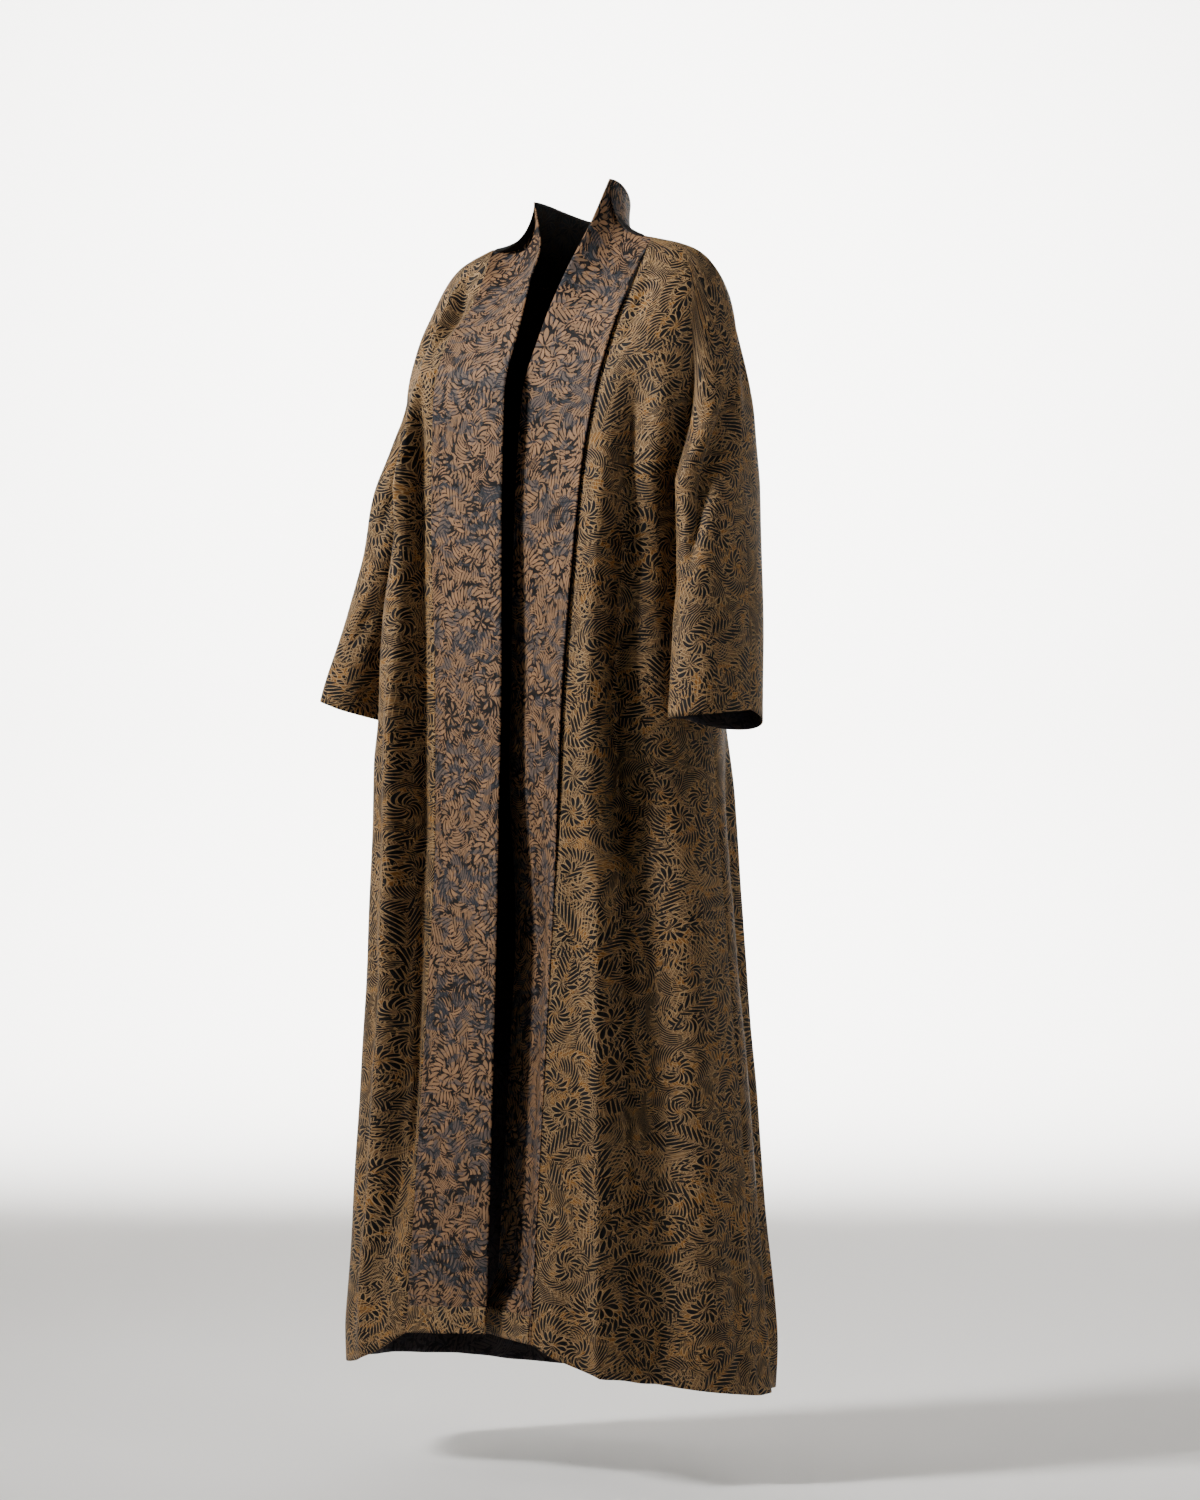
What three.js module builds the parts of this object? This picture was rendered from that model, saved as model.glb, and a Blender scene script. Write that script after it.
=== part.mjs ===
// An open-front abaya in thick jacquard cloth, in the shape it has when it is worn.
// Millimetres, +Z up, the front faces -Y and the wearer's left is +X.
// The origin is the middle of the shoulder line, at the height of the side of the neck.
import * as THREE from 'three';

// Driving dimensions
const CLOTH_THICKNESS = 2.0;
const TURNUP_DEPTH = 34;
const TURNUP_THICKNESS = 1.6;
const TURNUP_INSET = 3;
const SEAM_GAP = 0.3;
const UNDERARM_Z = -310;
const SHOULDER_TIP_Z = -60;
const BACK_NECK_Z = -78;
const BACK_COLLAR_EDGE_Z = 36;
const BACK_COLLAR_EDGE_Y = 101;
const BACK_HEM_Z = -1450;

// How finely the sections are cut
const YOKE_STEPS = [0, 0.025, 0.06, 0.1, 0.15, 0.21, 0.29, 0.38, 0.48, 0.59, 0.71, 0.85, 1];
const SKIRT_ROWS = 22;
const SLEEVE_ROWS = 6;
const BODY_COLUMNS = 9;
const BACK_COLUMNS = 8;
const SLEEVE_COLUMNS = 5;
const BAND_COLUMNS = 4;

// The front band of each side, from the side of the neck down to the hem. seam is its outer edge,
// sewn to the front, and edge is its free edge at the opening. hollow is how far its middle sinks
// towards the wearer.
const BAND = {
  left: [
    { seam_x: 123, seam_y: 0, seam_z: 3, edge_x: 66, edge_y: -8, edge_z: 79, hollow: 24 },
    { seam_x: 129, seam_y: -30, seam_z: -24, edge_x: 53, edge_y: -33, edge_z: 22, hollow: 21 },
    { seam_x: 129, seam_y: -62, seam_z: -65, edge_x: 33, edge_y: -60, edge_z: -40, hollow: 14 },
    { seam_x: 124, seam_y: -98, seam_z: -130, edge_x: 12, edge_y: -86, edge_z: -118, hollow: 6 },
    { seam_x: 113, seam_y: -116, seam_z: -197, edge_x: -5, edge_y: -101, edge_z: -195, hollow: 1 },
    { seam_x: 105, seam_y: -140, seam_z: -324, edge_x: -14, edge_y: -104, edge_z: -324, hollow: -3 },
    { seam_x: 87, seam_y: -150, seam_z: -578, edge_x: -29, edge_y: -92, edge_z: -578, hollow: -4 },
    { seam_x: 81, seam_y: -152, seam_z: -730, edge_x: -33, edge_y: -93, edge_z: -730, hollow: -4 },
    { seam_x: 68, seam_y: -165, seam_z: -1080, edge_x: -43, edge_y: -108, edge_z: -1080, hollow: -3 },
    { seam_x: 60, seam_y: -180, seam_z: -1371, edge_x: -50, edge_y: -125, edge_z: -1368, hollow: -3 },
  ],
  right: [
    { seam_x: -119, seam_y: -2, seam_z: 1, edge_x: -61, edge_y: 8, edge_z: 60, hollow: 22 },
    { seam_x: -118, seam_y: -20, seam_z: -33, edge_x: -42, edge_y: -6, edge_z: 8, hollow: 16 },
    { seam_x: -119, seam_y: -46, seam_z: -75, edge_x: -26, edge_y: -52, edge_z: -45, hollow: 8 },
    { seam_x: -128, seam_y: -88, seam_z: -130, edge_x: -15, edge_y: -96, edge_z: -115, hollow: 2 },
    { seam_x: -134, seam_y: -107, seam_z: -197, edge_x: -12, edge_y: -132, edge_z: -195, hollow: -3 },
    { seam_x: -136, seam_y: -109, seam_z: -324, edge_x: -13, edge_y: -136, edge_z: -324, hollow: -4 },
    { seam_x: -135, seam_y: -105, seam_z: -578, edge_x: -10, edge_y: -142, edge_z: -578, hollow: -4 },
    { seam_x: -135, seam_y: -105, seam_z: -730, edge_x: -11, edge_y: -146, edge_z: -730, hollow: -4 },
    { seam_x: -133, seam_y: -120, seam_z: -900, edge_x: -11, edge_y: -152, edge_z: -900, hollow: -3 },
    { seam_x: -134, seam_y: -138, seam_z: -1080, edge_x: -11, edge_y: -160, edge_z: -1080, hollow: -2 },
    { seam_x: -137, seam_y: -167, seam_z: -1372, edge_x: -12, edge_y: -172, edge_z: -1364, hollow: -2 },
  ],
};

// The shoulder and overarm line, from the side of the neck to the height of the underarm.
const OVERARM = {
  left: [
    { z: 3, x: 123, y: 0 },
    { z: -6, x: 160, y: 7 },
    { z: -16, x: 184, y: 11 },
    { z: -32, x: 202, y: 14 },
    { z: -60, x: 218, y: 15 },
    { z: -137, x: 243, y: 6 },
    { z: -200, x: 260, y: -12 },
    { z: -310, x: 281, y: -40 },
  ],
  right: [
    { z: 1, x: -119, y: -2 },
    { z: -10, x: -152, y: 5 },
    { z: -20, x: -173, y: 10 },
    { z: -36, x: -190, y: 14 },
    { z: -60, x: -203, y: 16 },
    { z: -137, x: -226, y: 18 },
    { z: -200, x: -245, y: 19 },
    { z: -310, x: -280, y: 19 },
  ],
};

// The body's side seam, and above the underarm the crease between body and sleeve.
const SIDE = {
  left: [
    { z: 3, x: 120, y: 4 },
    { z: -60, x: 182, y: 4 },
    { z: -200, x: 194, y: -8 },
    { z: -310, x: 199, y: -20 },
    { z: -400, x: 204, y: -6 },
    { z: -500, x: 208, y: 0 },
    { z: -617, x: 214, y: 0 },
    { z: -730, x: 222, y: 0 },
    { z: -893, x: 236, y: 0 },
    { z: -1074, x: 254, y: 0 },
    { z: -1318, x: 271, y: 0 },
    { z: -1445, x: 282, y: 0 },
  ],
  right: [
    { z: 1, x: -116, y: 4 },
    { z: -60, x: -182, y: 10 },
    { z: -200, x: -194, y: 10 },
    { z: -310, x: -200, y: 10 },
    { z: -400, x: -211, y: 8 },
    { z: -500, x: -230, y: 8 },
    { z: -617, x: -250, y: 8 },
    { z: -730, x: -256, y: 8 },
    { z: -893, x: -266, y: 8 },
    { z: -1074, x: -278, y: 8 },
    { z: -1318, x: -300, y: 8 },
    { z: -1445, x: -312, y: 8 },
  ],
};

// The centre back, from the neck seam to the hem.
const CENTRE_BACK = [
  { z: -78, y: 102 },
  { z: -130, y: 118 },
  { z: -200, y: 128 },
  { z: -310, y: 130 },
  { z: -500, y: 126 },
  { z: -617, y: 130 },
  { z: -730, y: 140 },
  { z: -893, y: 148 },
  { z: -1074, y: 158 },
  { z: -1318, y: 168 },
  { z: -1450, y: 174 },
];

// Each sleeve from the underarm to the cuff. inner and outer are its seams, front and back are how
// far its two halves stand out from the line between them.
const SLEEVE = {
  left: [
    { z: -60, front: 70, back: 62 },
    { z: -310, inner_x: 199, inner_y: -20, outer_x: 281, outer_y: -40, front: 84, back: 76 },
    { z: -400, inner_x: 212, inner_y: -44, outer_x: 292, outer_y: -50, front: 82, back: 74 },
    { z: -500, inner_x: 220, inner_y: -68, outer_x: 303, outer_y: -62, front: 80, back: 72 },
    { z: -590, inner_x: 224, inner_y: -88, outer_x: 311, outer_y: -72, front: 76, back: 70 },
  ],
  right: [
    { z: -60, front: 66, back: 60 },
    { z: -310, inner_x: -200, inner_y: 10, outer_x: -280, outer_y: 19, front: 84, back: 76 },
    { z: -400, inner_x: -222, inner_y: 8, outer_x: -303, outer_y: 14, front: 82, back: 74 },
    { z: -500, inner_x: -251, inner_y: 2, outer_x: -334, outer_y: 4, front: 80, back: 72 },
    { z: -590, inner_x: -275, inner_y: -8, outer_x: -362, outer_y: -8, front: 78, back: 68 },
  ],
};

// The cuff's height at the inner seam, the front, the outer seam and the back.
const CUFF = {
  left: { inner: -603, front: -600, outer: -592, back: -616 },
  right: { inner: -606, front: -584, outer: -562, back: -592 },
};

// The hem's height at the band seam, in the middle of the front and at the side seam.
const HEM = {
  left: { seam: -1371, middle: -1416, side: -1438 },
  right: { seam: -1372, middle: -1420, side: -1432 },
};

// How the front swings out between the band seam and the side seam: the section leaves the seam
// along (start_x, start_y) and comes to the side seam from end_y in front of it.
const FRONT_SWING = {
  left: [
    { z: 3, start_x: 6, start_y: 0, end_y: 6 },
    { z: -60, start_x: 40, start_y: -8, end_y: 50 },
    { z: -200, start_x: 62, start_y: -6, end_y: 80 },
    { z: -310, start_x: 62, start_y: 2, end_y: 75 },
    { z: -617, start_x: 62, start_y: 8, end_y: 90 },
    { z: -1074, start_x: 90, start_y: 8, end_y: 100 },
    { z: -1445, start_x: 110, start_y: 6, end_y: 110 },
  ],
  right: [
    { z: 1, start_x: 6, start_y: 0, end_y: 6 },
    { z: -60, start_x: 36, start_y: -22, end_y: 46 },
    { z: -200, start_x: 60, start_y: -42, end_y: 80 },
    { z: -310, start_x: 66, start_y: -48, end_y: 90 },
    { z: -617, start_x: 74, start_y: -48, end_y: 100 },
    { z: -1074, start_x: 76, start_y: -30, end_y: 104 },
    { z: -1445, start_x: 84, start_y: -12, end_y: 112 },
  ],
};

// The largest folds. Each runs from (from_u, from_z) to (to_u, to_z), u being the share of the way
// across its panel from the band seam or the centre back; width and depth are in millimetres, and a
// valley's depth is negative.
const FOLDS = {
  front_left: [
    { name: 'valley by the collar', from_u: 0.3, from_z: -20, to_u: 0.13, to_z: -150, width: 16, depth: -9 },
    { name: 'pressed ridge', from_u: 0.2, from_z: -470, to_u: 0.3, to_z: -1500, width: 15, depth: 11 },
    { name: 'ridge valley', from_u: 0.38, from_z: -560, to_u: 0.47, to_z: -1500, width: 26, depth: -9 },
    { name: 'side roll', from_u: 0.74, from_z: -700, to_u: 0.72, to_z: -1500, width: 30, depth: 7 },
  ],
  front_right: [
    { name: 'band valley', from_u: 0.17, from_z: -150, to_u: 0.14, to_z: -1330, width: 22, depth: -24 },
    { name: 'column crest', from_u: 0.5, from_z: -330, to_u: 0.46, to_z: -1500, width: 34, depth: 9 },
    { name: 'side valley', from_u: 0.8, from_z: -640, to_u: 0.78, to_z: -1500, width: 26, depth: -10 },
  ],
  back_left: [
    { name: 'shoulder blade fold', from_u: 0.55, from_z: -170, to_u: 0.5, to_z: -1500, width: 34, depth: 9 },
    { name: 'back valley', from_u: 0.28, from_z: -420, to_u: 0.3, to_z: -1500, width: 34, depth: -12 },
    { name: 'rear side valley', from_u: 0.78, from_z: -620, to_u: 0.76, to_z: -1500, width: 24, depth: -11 },
  ],
  back_right: [
    { name: 'shoulder blade fold', from_u: 0.5, from_z: -190, to_u: 0.48, to_z: -1500, width: 34, depth: 9 },
    { name: 'back valley', from_u: 0.24, from_z: -460, to_u: 0.27, to_z: -1500, width: 32, depth: -11 },
    { name: 'rear side valley', from_u: 0.74, from_z: -640, to_u: 0.73, to_z: -1500, width: 26, depth: -10 },
  ],
};
const FOLD_FADE = 140;
const FOLD_EDGE = 22;

const SIDES = ['left', 'right'];

// A smooth curve through one column of a table, read at any place along another column.
function columnCurve(rows, at, column) {
  const known = rows.filter((row) => row[column] !== undefined);
  const xs = known.map((row) => row[at]);
  const ys = known.map((row) => row[column]);
  const rising = xs[0] < xs[xs.length - 1];
  if (!rising) {
    xs.reverse();
    ys.reverse();
  }
  const chord = xs.slice(1).map((x, i) => (ys[i + 1] - ys[i]) / (x - xs[i]));
  const slopes = xs.map((_, i) => {
    if (i === 0) return chord[0];
    if (i === xs.length - 1) return chord[i - 1];
    if (chord[i - 1] * chord[i] <= 0) return 0;
    const before = xs[i] - xs[i - 1];
    const after = xs[i + 1] - xs[i];
    const heavy = 2 * after + before;
    const light = after + 2 * before;
    return (heavy + light) / (heavy / chord[i - 1] + light / chord[i]);
  });
  return (x) => {
    const clamped = Math.min(Math.max(x, xs[0]), xs[xs.length - 1]);
    let i = 0;
    while (i < xs.length - 2 && clamped > xs[i + 1]) i += 1;
    const span = xs[i + 1] - xs[i];
    const t = (clamped - xs[i]) / span;
    const a = ys[i] * (1 + 2 * t) * (1 - t) ** 2 + ys[i + 1] * t * t * (3 - 2 * t);
    const b = slopes[i] * span * t * (1 - t) ** 2 - slopes[i + 1] * span * t * t * (1 - t);
    return a + b;
  };
}

function tracks(rows, at, columns) {
  return Object.fromEntries(columns.map((column) => [column, columnCurve(rows, at, column)]));
}

function smooth(t) {
  const s = Math.min(Math.max(t, 0), 1);
  return s * s * (3 - 2 * s);
}

function bezier(p0, p1, p2, p3, t) {
  return new THREE.CubicBezierCurve3(p0, p1, p2, p3).getPoint(t);
}

const vec = (x, y, z) => new THREE.Vector3(x, y, z);

// Everything the sections of one side need, as smooth curves of the height.
const SHAPE = {};
for (const side of SIDES) {
  let run = 0;
  const rows = BAND[side].map((row, i, all) => {
    if (i > 0) {
      const last = all[i - 1];
      run += Math.hypot(row.seam_x - last.seam_x, row.seam_y - last.seam_y, row.seam_z - last.seam_z);
    }
    return { ...row, run };
  });
  const names = ['seam_x', 'seam_y', 'seam_z', 'edge_x', 'edge_y', 'edge_z', 'hollow'];
  SHAPE[side] = {
    sign: side === 'left' ? 1 : -1,
    band: tracks(rows, 'run', names),
    runAt: columnCurve(rows, 'seam_z', 'run'),
    overarm: tracks(OVERARM[side], 'z', ['x', 'y']),
    side: tracks(SIDE[side], 'z', ['x', 'y']),
    sleeve: tracks(SLEEVE[side], 'z', ['inner_x', 'inner_y', 'outer_x', 'outer_y', 'front', 'back']),
    swing: tracks(FRONT_SWING[side], 'z', ['start_x', 'start_y', 'end_y']),
    neckZ: BAND[side][0].seam_z,
  };
}
const centreBackY = columnCurve(CENTRE_BACK, 'z', 'y');

function seamPoint(side, z) {
  const { band, runAt } = SHAPE[side];
  const run = runAt(z);
  return vec(band.seam_x(run), band.seam_y(run), z);
}

const sidePoint = (side, z) => vec(SHAPE[side].side.x(z), SHAPE[side].side.y(z), z);
const overarmPoint = (side, z) => vec(SHAPE[side].overarm.x(z), SHAPE[side].overarm.y(z), z);

// How far the crease between body and sleeve has opened at a height: 0 at the shoulder, 1 at the
// underarm.
const CREASE_ONSET = 1.7;
function creaseOpen(z) {
  const share = (SHOULDER_TIP_Z - z) / (SHOULDER_TIP_Z - UNDERARM_Z);
  return Math.min(Math.max(share, 0), 1) ** CREASE_ONSET;
}

// The front's section from the band seam (t = 0) to the side seam (t = 1).
function frontBody(side, z, t) {
  const { swing, sign } = SHAPE[side];
  const start = seamPoint(side, z);
  const end = sidePoint(side, z);
  const leave = vec(start.x + sign * swing.start_x(z), start.y + swing.start_y(z), z);
  const arrive = vec(end.x, end.y - swing.end_y(z), z);
  return bezier(start, leave, arrive, end, t);
}

// The back's section from the centre back (t = 0) to the side seam (t = 1).
function backBody(side, z, t) {
  const start = vec(0, centreBackY(z), z);
  const end = sidePoint(side, z);
  const leave = vec(start.x + (end.x - start.x) * 0.58, start.y, z);
  const arrive = vec(end.x, end.y + (start.y - end.y) * 0.55, z);
  return bezier(start, leave, arrive, end, t);
}

// Half of a sleeve's section, from its inner seam (t = 0) to its outer seam (t = 1).
function sleeveHalf(inner, outer, reach, t) {
  const turn = Math.PI * t;
  const middle = inner.clone().add(outer).multiplyScalar(0.5);
  const half = outer.clone().sub(inner).multiplyScalar(0.5);
  return middle.add(half.multiplyScalar(-Math.cos(turn))).add(vec(0, reach * Math.sin(turn) ** 0.85, 0));
}

function sleeveSeams(side, z) {
  const { sleeve } = SHAPE[side];
  if (z >= UNDERARM_Z) return { inner: sidePoint(side, z), outer: overarmPoint(side, z) };
  return {
    inner: vec(sleeve.inner_x(z), sleeve.inner_y(z), z),
    outer: vec(sleeve.outer_x(z), sleeve.outer_y(z), z),
  };
}

// One piece of the way over the yoke: a curve from start to the overarm line, shared by body and sleeve.
const YOKE_BODY_SHARE = 0.62;

function yokeFront(side, z, t) {
  const start = seamPoint(side, z);
  const end = overarmPoint(side, z);
  const across = end.x - start.x;
  const deep = end.y - start.y;
  const leave = vec(start.x + across * 0.55, start.y - deep * 0.04, z);
  const arrive = vec(end.x - across * 0.02, end.y - deep * 0.72, z);
  return bezier(start, leave, arrive, end, t);
}

function yokeBack(side, z, t) {
  const share = (SHAPE[side].neckZ - z) / (SHAPE[side].neckZ - UNDERARM_Z);
  const middleZ = BACK_NECK_Z + (UNDERARM_Z - BACK_NECK_Z) * share;
  const start = vec(0, centreBackY(middleZ), middleZ);
  const end = overarmPoint(side, z);
  const leave = vec(end.x * 0.5, start.y, middleZ);
  const arrive = vec(end.x, end.y + (start.y - end.y) * 0.6, z + (middleZ - z) * 0.25);
  return bezier(start, leave, arrive, end, t);
}

// Folds push a point out along the horizontal normal of its section.
function foldOffset(panel, u, z, width) {
  let push = 0;
  for (const fold of FOLDS[panel]) {
    const along = (z - fold.from_z) / (fold.to_z - fold.from_z);
    if (along < 0 || along > 1) continue;
    const centre = fold.from_u + (fold.to_u - fold.from_u) * along;
    const fromEnds = Math.min(fold.from_z - z, z - fold.to_z);
    const off = ((u - centre) * width) / fold.width;
    push += fold.depth * smooth(fromEnds / FOLD_FADE) * Math.exp(-off * off);
  }
  const edge = Math.min(u, 1 - u) * width;
  return push * smooth(edge / FOLD_EDGE);
}

// The height of the hem on a panel, from the band seam or the centre back (t = 0) to the side.
function hemZ(kind, side, t) {
  const hem = HEM[side];
  if (kind === 'back') return BACK_HEM_Z + (hem.side - BACK_HEM_Z) * smooth(t);
  if (t < 0.5) return hem.seam + (hem.middle - hem.seam) * Math.sin(Math.PI * t);
  return hem.middle + (hem.side - hem.middle) * (t - 0.5) * 2;
}

// The height of the cuff on half a sleeve, from its inner seam (t = 0) to its outer seam.
function cuffZ(kind, side, t) {
  const cuff = CUFF[side];
  const straight = cuff.inner + (cuff.outer - cuff.inner) * t;
  return straight + (cuff[kind] - (cuff.inner + cuff.outer) / 2) * Math.sin(Math.PI * t);
}

function sleevePoint(kind, side, z, t) {
  const { inner, outer } = sleeveSeams(side, z);
  const { sleeve } = SHAPE[side];
  const reach = kind === 'front' ? -sleeve.front(z) : sleeve.back(z);
  return sleeveHalf(inner, outer, reach, t);
}

// A point of a panel before its folds. A body column runs from t = 0 at the band seam or the centre
// back to t = 1 at the side, and a sleeve column runs on from the side to the overarm line.
function plainPoint(kind, side, limb, row, t) {
  const section = kind === 'front' ? frontBody : backBody;
  if (row.yoke === undefined) {
    const lowest = limb === 'body' ? hemZ(kind, side, t) : cuffZ(kind, side, t);
    const z = UNDERARM_Z + (lowest - UNDERARM_Z) * row.down;
    return limb === 'body' ? section(side, z, t) : sleevePoint(kind, side, z, t);
  }
  const z = yokeZ(side, row.yoke);
  const yoke = kind === 'front' ? yokeFront : yokeBack;
  const shoulder = yoke(side, z, yokeShare(limb, t));
  const bodyZ = shoulder.z + (z - shoulder.z) * t;
  const parted = limb === 'body' ? section(side, bodyZ, t) : sleevePoint(kind, side, z, t);
  return shoulder.lerp(parted, creaseOpen(z));
}

const yokeZ = (side, step) => SHAPE[side].neckZ + (UNDERARM_Z - SHAPE[side].neckZ) * step;

function yokeShare(limb, t) {
  return limb === 'body' ? t * YOKE_BODY_SHARE : YOKE_BODY_SHARE + (1 - YOKE_BODY_SHARE) * t;
}

function panelPoint(kind, side, limb, row, t) {
  const point = plainPoint(kind, side, limb, row, t);
  if (limb === 'sleeve' || t === 0 || t === 1) return point;
  const across = (s) => plainPoint(kind, side, limb, row, s);
  const along = across(Math.min(t + 0.01, 1)).sub(across(Math.max(t - 0.01, 0)));
  const facing = (kind === 'front') === (side === 'left') ? 1 : -1;
  const outward = vec(along.y, -along.x, 0).normalize().multiplyScalar(facing);
  const width = across(0).distanceTo(across(0.5)) + across(0.5).distanceTo(across(1));
  return point.addScaledVector(outward, foldOffset(`${kind}_${side}`, t, point.z, width));
}

const yokeRows = YOKE_STEPS.map((step) => ({ yoke: step }));
const skirtRows = Array.from({ length: SKIRT_ROWS }, (_, i) => ({ down: (i + 1) / SKIRT_ROWS }));
const sleeveRows = Array.from({ length: SLEEVE_ROWS }, (_, i) => ({ down: (i + 1) / SLEEVE_ROWS }));
const steps = (count) => Array.from({ length: count + 1 }, (_, i) => i / count);

// A sheet is a list of points and of four-sided faces that look outwards.
class Sheet {
  constructor(name, thickness) {
    this.name = name;
    this.thickness = thickness;
    this.points = [];
    this.faces = [];
  }

  // Adds a grid of rows of points. turned reverses its faces.
  addGrid(rows, turned) {
    const ids = rows.map((row) => row.map((point) => this.points.push(point) - 1));
    for (let r = 0; r + 1 < ids.length; r += 1) {
      for (let c = 0; c + 1 < ids[r].length; c += 1) {
        const face = [ids[r][c], ids[r + 1][c], ids[r + 1][c + 1], ids[r][c + 1]];
        this.faces.push(turned ? face.reverse() : face);
      }
    }
  }
}

function addPanel(sheet, kind, side, bodyColumns) {
  const turned = (kind === 'front') === (side === 'right');
  const lastYoke = yokeRows[yokeRows.length - 1];
  const grid = (rows, limb, columns) =>
    rows.map((row) => steps(columns).map((t) => panelPoint(kind, side, limb, row, t)));
  sheet.addGrid(grid(yokeRows, 'body', bodyColumns), turned);
  sheet.addGrid(grid(yokeRows, 'sleeve', SLEEVE_COLUMNS), turned);
  sheet.addGrid(grid([lastYoke, ...skirtRows], 'body', bodyColumns), turned);
  sheet.addGrid(grid([lastYoke, ...sleeveRows], 'sleeve', SLEEVE_COLUMNS), turned);
}

// The band's section: a shallow curve from the seam (v = 0) to the free edge (v = 1).
function bandSection(seam, edge, along, hollow, sign, v) {
  const across = edge.clone().sub(seam);
  const inward = along.clone().cross(across).normalize().multiplyScalar(sign);
  return seam.clone().addScaledVector(across, v).addScaledVector(inward, hollow * 4 * v * (1 - v));
}

// Points of the band along the front, at the same heights as the rows of the front it is sewn to.
function bandFrontRow(side, z, columns) {
  const { band, runAt, sign } = SHAPE[side];
  const run = runAt(z);
  const seamAt = (r) => vec(band.seam_x(r), band.seam_y(r), band.seam_z(r));
  const seam = seamPoint(side, z);
  const edge = vec(band.edge_x(run), band.edge_y(run), band.edge_z(run));
  const along = seamAt(run + 2).sub(seamAt(run - 2)).normalize();
  return steps(columns).map((v) => bandSection(seam, edge, along, band.hollow(run), sign, v));
}

// Points of the band round the back of the neck, from the side (share 0) to the centre back (1).
function bandNeckRow(side, share, columns) {
  const { band, sign, neckZ } = SHAPE[side];
  const seamAt = (s) => yokeBack(side, neckZ, 1 - s);
  const seam = seamAt(share);
  const start = vec(band.edge_x(0), band.edge_y(0), band.edge_z(0));
  const end = vec(0, BACK_COLLAR_EDGE_Y, BACK_COLLAR_EDGE_Z);
  const leave = start.clone().add(vec(sign * 2, 46, 2));
  const arrive = vec(sign * 46, BACK_COLLAR_EDGE_Y - 2, BACK_COLLAR_EDGE_Z + 2);
  const edge = bezier(start, leave, arrive, end, share);
  const step = 0.01;
  const along = seamAt(Math.max(share - step, 0)).sub(seamAt(Math.min(share + step, 1))).normalize();
  if (share === 1) along.set(sign, 0, 0);
  const hollow = band.hollow(0) * (1 - share) + 5 * share;
  return steps(columns).map((v) => bandSection(seam, edge, along, hollow, sign, v));
}

// The neck seam is cut where the back's columns meet it.
const neckShares = [
  ...steps(BACK_COLUMNS).map((t) => yokeShare('body', t)),
  ...steps(SLEEVE_COLUMNS).slice(1, -1).map((t) => yokeShare('sleeve', t)),
];

function bandRows(side) {
  const neck = neckShares.map((share) => bandNeckRow(side, 1 - share, BAND_COLUMNS));
  const yoke = yokeRows.map((row) => bandFrontRow(side, yokeZ(side, row.yoke), BAND_COLUMNS));
  const skirt = skirtRows.map((row) => {
    const z = UNDERARM_Z + (HEM[side].seam - UNDERARM_Z) * row.down;
    return bandFrontRow(side, z, BAND_COLUMNS);
  });
  return [...neck, ...yoke, ...skirt];
}

// Points closer than this are one point of the cloth.
const WELD = 1e-3;
const weldKey = (p) => [p.x, p.y, p.z].map((value) => Math.round(value / WELD)).join(' ');
const seamKey = (p, q) => [weldKey(p), weldKey(q)].sort().join('|');

// At a corner between two seams, a piece draws back from both: this limits how far.
const SHARPEST_MITRE = 0.12;

// A sheet's own points without doubles, and its triangles: each four-sided face is split along its
// shorter diagonal, and one with a side of no length becomes a single triangle.
function triangulate(sheet) {
  const ids = new Map();
  const points = [];
  const own = sheet.points.map((point) => {
    const key = weldKey(point);
    if (!ids.has(key)) ids.set(key, points.push(point) - 1);
    return ids.get(key);
  });
  const triangles = [];
  for (const face of sheet.faces) {
    const [a, b, c, d] = face.map((id) => own[id]);
    const split = points[a].distanceTo(points[c]) <= points[b].distanceTo(points[d])
      ? [[a, b, c], [a, c, d]]
      : [[a, b, d], [b, c, d]];
    for (const [p, q, r] of split) {
      if (p !== q && q !== r && r !== p) triangles.push([p, q, r]);
    }
  }
  return { points, triangles };
}

function faceNormal(points, [a, b, c]) {
  const side = points[b].clone().sub(points[a]);
  return side.cross(points[c].clone().sub(points[a]));
}

// Adds up the face normals round each point of all the sheets given, so that pieces that meet at a
// seam share one direction there.
function sharedNormals(parts) {
  const normals = new Map();
  for (const { points, triangles } of parts) {
    for (const triangle of triangles) {
      const normal = faceNormal(points, triangle);
      for (const id of triangle) {
        const key = weldKey(points[id]);
        if (!normals.has(key)) normals.set(key, vec(0, 0, 0));
        normals.get(key).add(normal);
      }
    }
  }
  for (const normal of normals.values()) normal.normalize();
  return normals;
}

// The edges with a face on one side only, each in its face's direction and with that face's normal.
function openEdges({ points, triangles }) {
  const seen = new Map();
  for (const triangle of triangles) {
    const normal = faceNormal(points, triangle).normalize();
    triangle.forEach((a, i) => {
      const b = triangle[(i + 1) % 3];
      seen.set(`${a} ${b}`, { a, b, normal });
    });
  }
  return [...seen.values()].filter(({ a, b }) => !seen.has(`${b} ${a}`));
}

// The two triangles that close a wall along an edge. Both pieces at a seam split it the same way.
function edgeFaces(a, b, count, fromA) {
  if (fromA) return [[b, a, b + count], [a, a + count, b + count]];
  return [[b, a, a + count], [b, a + count, b + count]];
}

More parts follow.
